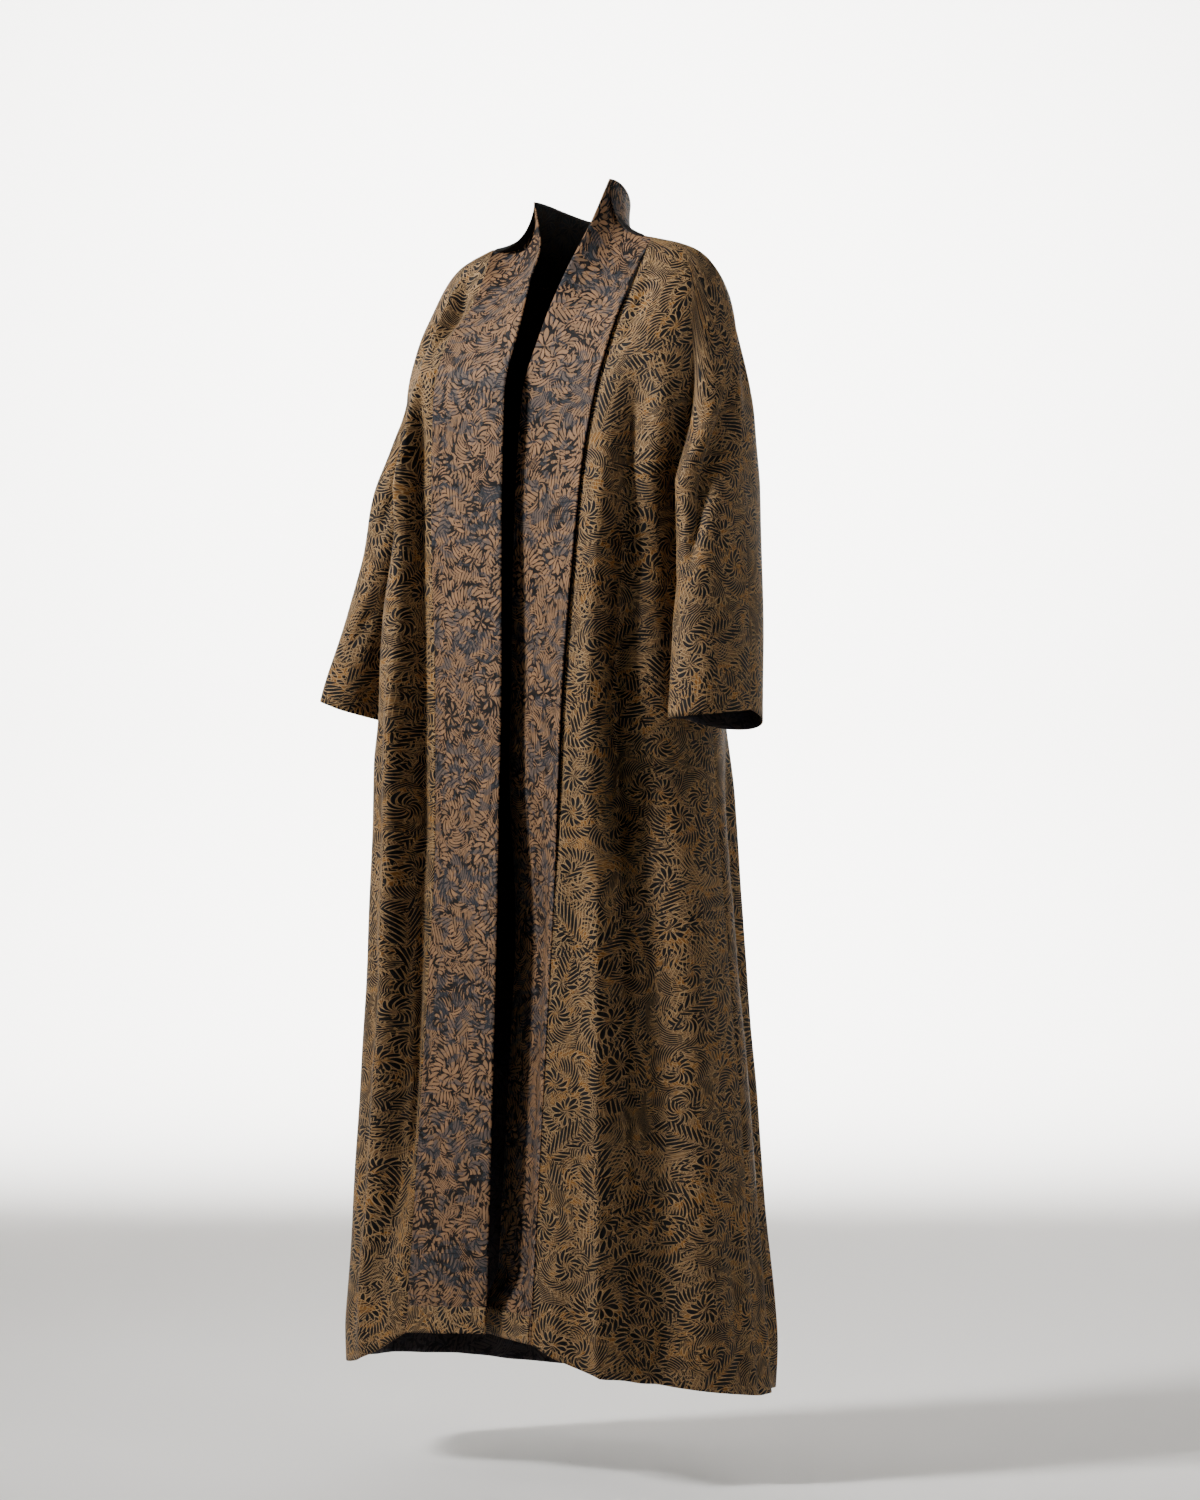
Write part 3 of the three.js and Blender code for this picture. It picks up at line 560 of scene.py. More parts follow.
def panel_points(kind, side, limb, down, t):
    down, t = np.meshgrid(down, t, indexing="ij")
    place = plain_point(kind, side, limb, down, t)
    step = 0.01
    after = plain_point(kind, side, limb, down, np.minimum(t + step, 1))
    before = plain_point(kind, side, limb, down, np.maximum(t - step, 0))
    along = after - before
    facing = 1 if (kind == "front") == (side == LEFT) else -1
    outward = facing * np.stack([along[..., 1], -along[..., 0], 0 * along[..., 0]], axis=-1)
    outward /= np.maximum(np.linalg.norm(outward, axis=-1, keepdims=True), 1e-9)
    arc = way_across(place)
    width = arc[:, -1:]
    z = place[..., 2]
    name = f"{kind}_{side}"
    edge = smooth(np.minimum(t, 1 - t) * width / FOLD_EDGE)
    if limb == "body":
        push = fold_push(FOLDS[name], t, z, width) * edge
        fine = fold_push(FINE_FOLDS[name], t, z, width)
    else:
        push, fine = 0, fold_push(SLEEVE_FOLDS[name], t, z, width)
    fine = fine + ripple(arc, z, SEEDS[name]) * FINE_SHARE
    fine_edge = smooth(np.minimum(t, 1 - t) * width / FINE_EDGE)
    to_seam = 1 - t if limb == "body" else t
    if limb == "body" and kind == "front":
        to_seam = np.minimum(t, 1 - t)
    dip = -SEAM_DIP * np.exp(-((to_seam * width / SEAM_DIP_WIDTH) ** 2)) * smooth((down - 1.0) * 8)
    if kind == "front" and limb == "body":
        top, foot, lip = LIP[side]
        shown = smooth((top - z) / LIP_TOP_FADE) * smooth((z - foot) / LIP_FOOT_FADE)
        dip = dip - LIP_DROP_SHARE * lip * shown * np.exp(-((t * width / LIP_DROP_WIDTH) ** 2))
    wall = place + outward * (push + fine * fine_edge + dip)[..., None]
    return wall, arc

# %% [markdown]
# ## From points to cloth
# A grid of points becomes a mesh with a UV map in metres: u runs across the cloth and v along its
# grain, both measured on the surface, so that the woven pattern keeps its scale on every piece. The
# places are the outer face, and Solidify gives the thickness inwards, in the cloth's other side.


# %% Rows and columns
def even(count):
    return np.linspace(0, 1, count + 1)


def with_edges(count):
    """Even columns, with more of them next to the two seams."""
    return np.unique(np.concatenate([even(count), [0.004, 0.01, 0.99, 0.996]]))


YOKE_DOWN = even(58) ** 1.5
SKIRT_DOWN = 1 + even(188)
SLEEVE_DOWN = 1 + even(52)
BODY_ACROSS = with_edges(48)
SLEEVE_ACROSS = with_edges(28)


# %% Grids to meshes
def grain(wall, across):
    """How far down the cloth each point is: what is left of its way down once it has gone across."""
    steps = np.linalg.norm(np.diff(wall, axis=0), axis=-1)
    sideways = np.diff(across, axis=0)
    down = np.sqrt(np.maximum(steps**2 - sideways**2, 1e-6))
    return np.concatenate([np.zeros((1, wall.shape[1])), np.cumsum(down, axis=0)], axis=0)


def grid_faces(shape, turned):
    rows, columns = shape
    ids = np.arange(rows * columns).reshape(rows, columns)
    faces = np.stack([ids[:-1, :-1], ids[1:, :-1], ids[1:, 1:], ids[:-1, 1:]], axis=-1).reshape(-1, 4)
    return faces[:, ::-1] if turned else faces


def placed(name, data):
    made = bpy.data.objects.new(name, data)
    bpy.context.scene.collection.objects.link(made)
    return made


def cloth_object(name, grids, looks, thickness=CLOTH_THICKNESS):
    """grids: (points in mm, u in mm, v in mm, turned). looks: the outer and the inner material."""
    places, faces, uvs, start = [], [], [], 0
    for wall, across, down, turned in grids:
        places.append(wall.reshape(-1, 3) * MM)
        faces.append(grid_faces(wall.shape[:2], turned) + start)
        uvs.append(np.stack([across, down], axis=-1).reshape(-1, 2) * MM)
        start += wall.shape[0] * wall.shape[1]
    places, faces, uvs = np.concatenate(places), np.concatenate(faces), np.concatenate(uvs)
    mesh = bpy.data.meshes.new(name)
    mesh.from_pydata(places.tolist(), [], faces.tolist())
    layer = mesh.uv_layers.new(name="cloth")
    layer.data.foreach_set("uv", uvs[faces.reshape(-1)].ravel())
    welder = bmesh.new()
    welder.from_mesh(mesh)
    bmesh.ops.remove_doubles(welder, verts=welder.verts, dist=2e-6)
    bmesh.ops.dissolve_degenerate(welder, edges=welder.edges, dist=1e-6)
    welder.to_mesh(mesh)
    welder.free()
    mesh.shade_smooth()
    for look in looks:
        mesh.materials.append(look)
    piece = placed(name, mesh)
    shell = piece.modifiers.new("thickness", "SOLIDIFY")
    shell.thickness = thickness * MM
    shell.offset = -1
    shell.material_offset = 1
    shell.use_quality_normals = True
    area = sum(face.area for face in mesh.polygons)
    print(f"{name}: {len(mesh.polygons)} faces, {area:.3f} m2")
    return piece


# %% Panels: a body grid and a sleeve grid that run on from one another
# Above the tip of the shoulder the pattern is measured from the line where the two meet. Below it,
# the body's is measured from its inner seam and the sleeve's from its overarm line. It runs on
# across the centre back, and turns the same way round each sleeve, front and back.
def panel_grids(kind, side, base=0.0):
    turned = (kind == "front") == (side == RIGHT)
    hand = SIGN[side] * (1 if kind == "back" else -1)
    yoke_wall, yoke_arc = panel_points(kind, side, "body", YOKE_DOWN, BODY_ACROSS)
    arm_wall, arm_arc = panel_points(kind, side, "sleeve", YOKE_DOWN, SLEEVE_ACROSS)
    skirt_wall, skirt_arc = panel_points(kind, side, "body", SKIRT_DOWN, BODY_ACROSS)
    low_wall, low_arc = panel_points(kind, side, "sleeve", SLEEVE_DOWN, SLEEVE_ACROSS)
    neck_z = SHAPE[side]["neck_z"]
    tip = int(np.searchsorted(YOKE_DOWN, (neck_z - SHOULDER_TIP_Z) / (neck_z - UNDERARM_Z)))
    row = np.arange(len(YOKE_DOWN))
    if kind == "back":
        base = yoke_arc[tip, -1]
    grids = []
    for wall, arc, start in (
        (yoke_wall, yoke_arc, yoke_arc[np.minimum(row, tip), -1]),
        (arm_wall, arm_arc, arm_arc[np.maximum(row, tip), -1] - arm_arc[tip, -1]),
        (skirt_wall, skirt_arc, np.full(len(skirt_arc), yoke_arc[tip, -1])),
        (low_wall, low_arc, low_arc[:, -1] - arm_arc[tip, -1]),
    ):
        u = arc - start[:, None]
        down = grain(wall, u)
        if len(wall) == len(YOKE_DOWN):
            down = down - down[-1:]
        grids.append((wall, hand * (u + base), -down, turned))
    return grids


# %% Bands: along the front edge and round the back of the neck
BAND_ACROSS = np.unique(np.concatenate([even(28), [0.008, 0.02, 0.05]]))
# From which height to which the outer edge stands proud, and by how much.
LIP = {LEFT: (0, -860, 3.2), RIGHT: (-60, -560, 1.9)}
LIP_WIDTH = 9
# Between which heights the band turns inwards, and by how much.
TURN_IN = {LEFT: (-640, -1345, 20), RIGHT: (-1000, -1345, 0)}
TURN_IN_TOP_FADE = 260
TURN_IN_FOOT_FADE = 60
TURN_IN_ACROSS = 0.4
LAP = 1.4
NECK_SHARES = even(44)[::-1]
NECK_HANDLE = 46
NECK_HOLLOW = 5
BAND_ROWS = 180


def unit(vectors):
    return vectors / np.maximum(np.linalg.norm(vectors, axis=-1, keepdims=True), 1e-9)


def band_section(seam, edge, along, hollow, sign, v):
    across = edge - seam
    inward = unit(np.cross(along, across)) * sign
    v = v[None, :, None]
    return seam[:, None] + across[:, None] * v + inward[:, None] * hollow[:, None, None] * 4 * v * (1 - v)


def band_front(side, z, v):
    band, run = SHAPE[side]["band"], SHAPE[side]["run_at"](z)

    def seam_at(r):
        return points(band["seam_x"](r), band["seam_y"](r), band["seam_z"](r))

    edge = points(band["edge_x"](run), band["edge_y"](run), band["edge_z"](run))
    along = unit(seam_at(run + 2) - seam_at(run - 2))
    return band_section(seam_point(side, z), edge, along, band["hollow"](run), SIGN[side], v)


def band_neck(side, share, v):
    band, sign, neck_z = SHAPE[side]["band"], SIGN[side], SHAPE[side]["neck_z"]

    def seam_at(s):
        return yoke_back(side, np.full_like(s, neck_z), 1 - s)

    start = points(band["edge_x"](0), band["edge_y"](0), band["edge_z"](0))
    end = points(0, BACK_COLLAR_EDGE_Y, BACK_COLLAR_EDGE_Z)
    leave = start + points(sign * 2, NECK_HANDLE, 2)
    arrive = points(sign * NECK_HANDLE, BACK_COLLAR_EDGE_Y - 2, BACK_COLLAR_EDGE_Z + 2)
    edge = bezier(start, leave, arrive, end, share)
    along = unit(seam_at(np.maximum(share - 0.01, 0)) - seam_at(np.minimum(share + 0.01, 1)))
    along[share >= 1] = (sign, 0, 0)
    hollow = band["hollow"](0) * (1 - share) + NECK_HOLLOW * share
    return band_section(seam_at(share), edge, along, hollow, sign, v)


def band_wall(side):
    neck_z, foot = SHAPE[side]["neck_z"], HEM[side][0]
    heights = np.concatenate([
        neck_z + (UNDERARM_Z - neck_z) * YOKE_DOWN,
        UNDERARM_Z + (foot - UNDERARM_Z) * even(BAND_ROWS)[1:],
    ])
    neck = band_neck(side, NECK_SHARES, BAND_ACROSS)
    wall = np.concatenate([neck[:-1], band_front(side, heights, BAND_ACROSS)], axis=0)
    return stand_proud(side, wall)


def stand_proud(side, wall):
    """The band's outer edge stands up from the front, and further down the left band turns in."""
    seam, width = wall[:, :1], np.linalg.norm(wall[:, -1:] - wall[:, :1], axis=-1, keepdims=True)
    out_of_seam = unit(seam - wall[:, 1:2])
    down = unit(np.gradient(wall, axis=0))
    outward = unit(np.cross(down, out_of_seam)) * SIGN[side]
    top, foot, lip = LIP[side]
    z = wall[..., 2:]
    shown = smooth((top - z) / LIP_TOP_FADE) * smooth((z - foot) / LIP_FOOT_FADE)
    near = np.exp(-((BAND_ACROSS[None, :, None] * width / LIP_WIDTH) ** 2))
    top, foot, sink = TURN_IN[side]
    turned = smooth((top - z) / TURN_IN_TOP_FADE) * smooth((z - foot) / TURN_IN_FOOT_FADE)
    turned = turned * smooth(BAND_ACROSS / TURN_IN_ACROSS)[None, :, None]
    return wall + (outward * lip + out_of_seam * LAP) * shown * near - outward * sink * turned

# %% [markdown]
# ## The woven pattern
# The jacquard shows slender leaves in sprays and in bursts, and clouds of a second colour behind
# them. A spray is one formula: a cell of a Voronoi texture gives its middle and its turn, the
# distance from its stem gives the place along a leaf, and a slanted repeat along the stem gives the
# place across it. A burst has its leaves in rings round the cell's middle. The layout is a general
# one of this scale and these colours, and copies no motif.


# %% A small helper that writes shader nodes as formulas
class Web:
    def __init__(self, tree):
        self.tree = tree

    def node(self, kind, **settings):
        made = self.tree.nodes.new(kind)
        for key, value in settings.items():
            setattr(made, key, value)
        return made

    def feed(self, socket, value):
        if isinstance(value, bpy.types.NodeSocket):
            self.tree.links.new(value, socket)
        else:
            socket.default_value = value

    def fill(self, node, values):
        for label, value in values.items():
            self.feed(node.inputs[label], value)
        return node.outputs

    def wired(self, kind, values, **settings):
        return self.fill(self.node(kind, **settings), dict(enumerate(values)))

    def math(self, operation, *values, clamp=False):
        return self.wired("ShaderNodeMath", values, operation=operation, use_clamp=clamp)[0]

    def plus(self, a, b, clamp=False):
        return self.math("ADD", a, b, clamp=clamp)

    def minus(self, a, b, clamp=False):
        return self.math("SUBTRACT", a, b, clamp=clamp)

    def times(self, a, b, clamp=False):
        return self.math("MULTIPLY", a, b, clamp=clamp)

    def share(self, a, b, clamp=False):
        return self.math("DIVIDE", a, b, clamp=clamp)

    def vector(self, operation, *values):
        return self.wired("ShaderNodeVectorMath", values, operation=operation)[0]

    def scaled(self, vector, factor):
        made = self.node("ShaderNodeVectorMath", operation="SCALE")
        return self.fill(made, {0: vector, "Scale": factor})[0]

    def split(self, vector, kind="ShaderNodeSeparateXYZ"):
        return self.wired(kind, [vector])

    def ramp(self, value, low, high):
        made = self.node("ShaderNodeMapRange", interpolation_type="SMOOTHSTEP")
        return self.fill(made, {"Value": value, "From Min": low, "From Max": high})[0]

    def noise(self, **values):
        return self.fill(self.node("ShaderNodeTexNoise", noise_dimensions="2D"), values)[0]

    def chance(self, dimensions, *values):
        white = self.node("ShaderNodeTexWhiteNoise", noise_dimensions=dimensions)
        return self.fill(white, {"Vector": self.wired("ShaderNodeCombineXYZ", values)[0]})["Value"]

    def mix(self, factor, a, b):
        return self.fill(self.node("ShaderNodeMix", data_type="RGBA"), {0: factor, 6: a, 7: b})[2]

    def group(self, tree, **values):
        return self.fill(self.node("ShaderNodeGroup", node_tree=tree), values)


def shader_group(name, inputs, outputs):
    tree = bpy.data.node_groups.new(name, "ShaderNodeTree")
    for label, kind, value in inputs:
        socket = tree.interface.new_socket(label, in_out="INPUT", socket_type=kind)
        if value is not None:
            socket.default_value = value
    for label, kind in outputs:
        tree.interface.new_socket(label, in_out="OUTPUT", socket_type=kind)
    web = Web(tree)
    return tree, web, web.node("NodeGroupInput").outputs, web.node("NodeGroupOutput").inputs


def nearest_cell(web, cells, randomness):
    """The middle of the nearest cell, and three chances that belong to it."""
    voronoi = web.node("ShaderNodeTexVoronoi", voronoi_dimensions="2D", feature="F1")
    found = web.fill(voronoi, {"Vector": cells, "Scale": 1.0, "Randomness": randomness})
    return found["Position"], web.split(found["Color"], "ShaderNodeSeparateColor")


def give_leaves(web, out, inside, soft, rim, tone):
    """inside is over 0 in a leaf. Its outline lies just outside it."""
    leaf = web.ramp(inside, 0.0, soft)
    web.feed(out["Leaf"], leaf)
    web.feed(out["Outline"], web.minus(web.ramp(inside, -rim, -0.04), leaf, clamp=True))
    web.feed(out["Tone"], tone)


FLOAT, VECTOR = "NodeSocketFloat", "NodeSocketVector"

# %% One layer of leaf sprays
leaf_sprays, web, given, out = shader_group(
    "leaf sprays",
    [("Cloth", VECTOR, None), ("Spray", FLOAT, 0.036), ("Turn", FLOAT, 0.0), ("Spread", FLOAT, 1.6),
     ("Pitch", FLOAT, 0.15), ("Reach", FLOAT, 0.42), ("Slant", FLOAT, 1.15), ("Width", FLOAT, 0.36),
     ("Seed", FLOAT, 0.0)],
    [("Leaf", FLOAT), ("Outline", FLOAT), ("Tone", FLOAT)],
)
shifted = web.vector("ADD", given["Cloth"], web.scaled((0.37, 0.71, 0.0), given["Seed"]))
spray_size = web.vector("MULTIPLY", (1, 1.25, 1), web.scaled((1, 1, 1), given["Spray"]))
cells = web.vector("DIVIDE", shifted, spray_size)
middle, chance = nearest_cell(web, cells, 0.82)
local = web.vector("MULTIPLY", web.vector("SUBTRACT", cells, middle), (1, 1.25, 0))
turn = web.node("ShaderNodeVectorRotate", rotation_type="Z_AXIS")
swing = web.times(web.minus(chance[0], 0.5), given["Spread"])
web.fill(turn, {"Vector": local, "Angle": web.plus(given["Turn"], swing)})
y, x = web.split(turn.outputs[0])[:2]
bend = web.times(web.minus(chance[1], 0.5), 0.7)
y = web.plus(y, web.times(bend, web.times(x, x)))
away = web.math("ABSOLUTE", y)
half_step = web.times(web.math("SIGN", y), web.times(given["Pitch"], 0.25))
base = web.minus(web.minus(x, web.times(away, given["Slant"])), half_step)
count = web.share(base, given["Pitch"])
number = web.math("FLOOR", count)
across = web.math("ABSOLUTE", web.minus(web.minus(count, number), 0.5))
root = web.plus(web.times(web.plus(number, 0.5), given["Pitch"]), 0.12)
round_off = web.minus(1.0, web.times(web.times(root, root), 2.4), clamp=True)
tone = web.chance("2D", number, web.plus(web.math("SIGN", y), web.times(chance[2], 40)))
uneven = web.plus(0.72, web.times(tone, 0.5))
reach = web.times(web.times(given["Reach"], web.math("SQRT", round_off)), uneven)
along = web.share(away, web.math("MAXIMUM", reach, 0.001))
lance = web.times(web.times(along, web.minus(1.0, along, clamp=True)), 4.0, clamp=True)
width = web.times(given["Width"], web.math("POWER", lance, 0.75))
give_leaves(web, out, web.minus(width, across), 0.07, 0.13, tone)

# %% One layer of bursts: leaves that fan out from a point, in rings, and curl a little
leaf_bursts, web, given, out = shader_group(
    "leaf bursts",
    [("Cloth", VECTOR, None), ("Burst", FLOAT, 0.06), ("Ring", FLOAT, 0.24), ("Gap", FLOAT, 0.1),
     ("Width", FLOAT, 0.36), ("Curl", FLOAT, 1.0), ("Seed", FLOAT, 0.0)],
    [("Leaf", FLOAT), ("Outline", FLOAT), ("Tone", FLOAT)],
)
shifted = web.vector("ADD", given["Cloth"], web.scaled((0.53, 0.29, 0.0), given["Seed"]))
cells = web.vector("DIVIDE", shifted, web.scaled((1, 1, 1), given["Burst"]))
middle, chance = nearest_cell(web, cells, 0.9)
x, y = web.split(web.vector("SUBTRACT", cells, middle))[:2]
radius = web.math("SQRT", web.plus(web.times(x, x), web.times(y, y)))
angle = web.math("ARCTAN2", y, x)
curl = web.times(web.times(web.minus(chance[0], 0.5), 4.0), given["Curl"])
angle = web.plus(angle, web.times(curl, radius))
sway = web.math("SINE", web.plus(web.times(angle, 3.0), web.times(chance[1], 12)))
rings = web.share(web.plus(radius, web.times(sway, 0.05)), given["Ring"])
ring = web.math("FLOOR", rings)
along = web.minus(rings, ring)
middle = web.times(web.plus(ring, 0.55), given["Ring"])
leaves = web.math("ROUND", web.share(web.times(middle, math.tau), given["Gap"]))
turns = web.plus(web.share(angle, math.tau), web.times(ring, 0.31))
turns = web.plus(turns, chance[2])
count = web.times(turns, leaves)
number = web.math("FLOOR", count)
across = web.math("ABSOLUTE", web.minus(web.minus(count, number), 0.5))
tone = web.chance("3D", number, ring, web.times(chance[1], 40))
start = web.times(tone, 0.3)
spot = web.share(web.minus(along, start), web.minus(0.98, start), clamp=True)
lance = web.times(web.times(spot, web.minus(1.0, spot)), 4.0, clamp=True)
inside = web.minus(web.times(given["Width"], web.math("POWER", lance, 0.7)), across)
give_leaves(web, out, inside, 0.08, 0.15, tone)

# %% Clouds of the second colour, in loose rows down the cloth, and the fine rib of the weave
clouds, web, given, out = shader_group(
    "colour clouds",
    [("Cloth", VECTOR, None), ("Size", FLOAT, 0.055), ("Repeat", FLOAT, 0.155), ("Seed", FLOAT, 0.0)],
    [("Cloud", FLOAT), ("Fine", FLOAT)],
)
place = web.vector("ADD", given["Cloth"], web.scaled((1.3, 2.1, 0.0), given["Seed"]))
cloud_size = web.vector("MULTIPLY", (1.25, 0.8, 1), web.scaled((1, 1, 1), given["Size"]))
small = web.vector("DIVIDE", place, cloud_size)
noise = web.noise(Vector=small, Scale=1.0, Detail=3.0, Roughness=0.62, Distortion=0.5)
height = web.split(given["Cloth"])[1]
rows = web.math("SINE", web.times(web.share(height, given["Repeat"]), math.tau))
total = web.plus(noise, web.times(rows, 0.055))
web.feed(out["Cloud"], web.ramp(total, 0.5, 0.6))
web.feed(out["Fine"], web.noise(Vector=given["Cloth"], Scale=420.0, Detail=2.0))

weave, web, given, out = shader_group(
    "weave", [("Cloth", VECTOR, None), ("Threads per metre", FLOAT, 900.0)], [("Height", FLOAT)]
)
threads = web.split(web.scaled(given["Cloth"], web.times(given["Threads per metre"], math.tau)))
over = web.math("SINE", web.plus(threads[0], web.times(threads[1], 0.5)))
under = web.math("SINE", threads[1])
web.feed(out["Height"], web.plus(web.times(over, 0.6), web.times(under, 0.4)))


# %% Colours, from the photograph
def linear(rgb):
    return [((c / 255 + 0.055) / 1.055) ** 2.4 if c > 10 else c / 255 / 12.92 for c in rgb] + [1.0]


def plain(name, rgb, rough):
    look = bpy.data.materials.new(name)
    look.use_nodes = True
    shader = look.node_tree.nodes["Principled BSDF"]
    shader.inputs["Base Color"].default_value = linear(rgb)
    shader.inputs["Roughness"].default_value = rough
    return look


FACE = {"ground": (90, 69, 47), "cloud": (102, 67, 26), "pale": (66, 53, 39), "leaf": (6, 6, 7),
        "second_leaf": (15, 16, 19), "cloud_leaf": (20, 16, 12), "cloud_over": 0.3,
        "outline": (148, 120, 84), "cloud_size": 0.03}
REVERSE = {"ground": (12, 11, 12), "cloud": (42, 45, 50), "pale": (24, 21, 21), "leaf": (122, 92, 66),
           "second_leaf": (98, 76, 56), "cloud_leaf": (52, 54, 58), "cloud_over": 0.7,
           "outline": (10, 9, 9), "cloud_size": 0.018}
# The panels' inside: the reverse cloth with its leaves and clouds dimmed, painted shade for the inside of
# the garment.
INSIDE_IN_PAINTED_SHADE = {"ground": (15, 13, 16), "cloud": (26, 25, 31), "pale": (20, 18, 22), "leaf": (38, 31, 30),
          "second_leaf": (32, 28, 30), "cloud_leaf": (28, 27, 32), "cloud_over": 0.7,
          "outline": (16, 14, 16), "cloud_size": 0.021}
# The band's inner side: the face cloth with its ground, clouds and outlines darkened nearly to black,
# painted shade.
FACE_INSIDE_IN_PAINTED_SHADE = {**FACE, "ground": (24, 20, 16), "cloud": (27, 20, 13), "pale": (20, 17, 14),
               "outline": (30, 25, 19)}
# Each pattern: bursts with their size, ring, gap, width, curl and seed, and sprays with their size,
# turn, spread, pitch, reach, slant, width and seed. Soft-edged patches of the cloth have the one or
# the other, over a thin lower layer.
FACE_LEAVES = {
    "bursts": (0.062, 0.30, 0.088, 0.42, 2.4, 2.0),
    "sprays": (0.056, -0.4, 3.8, 0.125, 0.40, 1.1, 0.43, 7.0),
    "lower": (0.052, 0.34, 0.125, 0.36, 2.2, 5.0),
}
REVERSE_LEAVES = {
    "bursts": (0.072, 0.28, 0.095, 0.41, 2.2, 4.0),
    "sprays": (0.062, -0.4, 3.4, 0.125, 0.36, 1.1, 0.42, 9.0),
    "lower": (0.052, 0.30, 0.14, 0.30, 2.0, 3.0),
}


def burst_layer(web, cloth, sizes):
    names = ("Burst", "Ring", "Gap", "Width", "Curl", "Seed")
    return web.group(leaf_bursts, Cloth=cloth, **dict(zip(names, sizes)))


def spray_layer(web, cloth, sizes):
    names = ("Spray", "Turn", "Spread", "Pitch", "Reach", "Slant", "Width", "Seed")
    return web.group(leaf_sprays, Cloth=cloth, **dict(zip(names, sizes)))


def between(web, a, b, share):
    return web.math("MULTIPLY_ADD", web.minus(b, a), share, a)


def jacquard(name, colours, layers, rough, relief, sheen):
    look = bpy.data.materials.new(name)
    look.use_nodes = True
    tree = look.node_tree
    shader = tree.nodes["Principled BSDF"]
    web = Web(tree)
    cloth = web.node("ShaderNodeUVMap", uv_map="cloth").outputs[0]
    cloud = web.group(clouds, Cloth=cloth, Size=colours["cloud_size"], Seed=1.0)
    pale = web.group(clouds, Cloth=cloth, Size=0.022, Repeat=0.21, Seed=5.0)
    colour = web.mix(web.times(pale["Cloud"], 0.7), linear(colours["ground"]), linear(colours["pale"]))
    colour = web.mix(web.times(cloud["Cloud"], 0.85), colour, linear(colours["cloud"]))
    patch = web.group(clouds, Cloth=cloth, Size=0.04, Repeat=0.31, Seed=9.0)["Cloud"]
    patch = web.ramp(patch, 0.25, 0.5)
    lower = burst_layer(web, cloth, layers["lower"])
    burst, spray = burst_layer(web, cloth, layers["bursts"]), spray_layer(web, cloth, layers["sprays"])
    upper = {key: between(web, burst[key], spray[key], patch) for key in ("Leaf", "Outline", "Tone")}
    height = 0.0
    for leaves in (lower, upper):
        leaf_colour = web.mix(leaves["Tone"], linear(colours["leaf"]), linear(colours["second_leaf"]))
        under_cloud = web.times(cloud["Cloud"], colours["cloud_over"])
        leaf_colour = web.mix(under_cloud, leaf_colour, linear(colours["cloud_leaf"]))
        colour = web.mix(web.times(leaves["Outline"], 0.75), colour, linear(colours["outline"]))
        colour = web.mix(leaves["Leaf"], colour, leaf_colour)
        height = web.math("MAXIMUM", height, leaves["Leaf"])
    speck = web.plus(0.82, web.times(cloud["Fine"], 0.36))
    colour = web.vector("MULTIPLY", colour, web.scaled((1, 1, 1), speck))
    threads = web.group(weave, Cloth=cloth)["Height"]
    raised = web.plus(height, web.times(threads, 0.25))
    bump = web.fill(web.node("ShaderNodeBump"), {"Height": raised, "Strength": 1.0, "Distance": relief})
    web.fill(shader, {
        "Base Color": colour,
        "Roughness": web.minus(rough, web.times(height, 0.1)),
        "Specular IOR Level": 0.1,
        "Sheen Weight": sheen,
        "Sheen Roughness": 0.4,
        "Sheen Tint": linear((190, 160, 130)),
        "Normal": bump[0],
    })
    return look


face_cloth = jacquard("face cloth", FACE, FACE_LEAVES, 0.72, 0.00025, 0.01)
reverse_cloth = jacquard("reverse cloth", REVERSE, REVERSE_LEAVES, 0.72, 0.00025, 0.01)
# The panels' inside is a darker copy of the reverse cloth: painted shade.
inside_cloth_painted_shade = jacquard("reverse cloth, inside, painted shade", INSIDE_IN_PAINTED_SHADE, REVERSE_LEAVES, 0.68, 0.0002, 0.05)
# The band's inner side is a darker copy of the face cloth: painted shade.
face_inside_painted_shade = jacquard("face cloth, inside, painted shade", FACE_INSIDE_IN_PAINTED_SHADE, FACE_LEAVES, 0.7, 0.0002, 0.0)

# %% The camera, the lights' power, and where each piece lies on the roll of cloth, with its cut
CAMERA_AZIMUTH = 33
CAMERA_DISTANCE = 5.5
CAMERA_ASIDE = 0.0381
CAMERA_HEIGHT = -0.641
VIEW_HEIGHT = 1.905
SENSOR = 24
STUDIO_RADIUS = 6.4
STUDIO_BEND = 1.0
STUDIO_HEIGHT = 6.0
STUDIO_SIDES = 72
FLOOR_Z = -1.545
KEY_POWER, FILL_POWER, RIM_POWER, ROOM_LIGHT = 43, 2.0, 3, 0.018
BACKDROP_POWER, EDGE_POWER = 900, 12
FRONT_U = {LEFT: 1331.0, RIGHT: 2564.0}
BAND_U = {LEFT: 112.0, RIGHT: 947.0}
TURNUP_U = {LEFT: 90.0, RIGHT: 140.0}
CUTS = {
    "front_left": (0.46, 1.45, 0.405), "front_right": (0.46, 1.45, 0.39), "back": (1.1, 1.47, 1.0),
    "band_left": (0.12, 1.6, None), "band_right": (0.12, 1.6, None),
    "turnup_left": (0.12, 0.034, None), "turnup_right": (0.12, 0.034, None),
}

# %% [markdown]
# ## The cloth pieces
# Each piece rides the one body and stands for its solid, which is hidden, and the size of the cut that it
# is made from is printed.


# %% Make the fronts and the back
pieces = {}
for side in SIDES:
    pieces[f"front_{side}"] = cloth_object(
        f"front_{side}_cloth", panel_grids("front", side, FRONT_U[side]), (face_cloth, inside_cloth_painted_shade)
    )
back_grids = panel_grids("back", LEFT) + panel_grids("back", RIGHT)
pieces["back"] = cloth_object("back_cloth", back_grids, (face_cloth, inside_cloth_painted_shade))

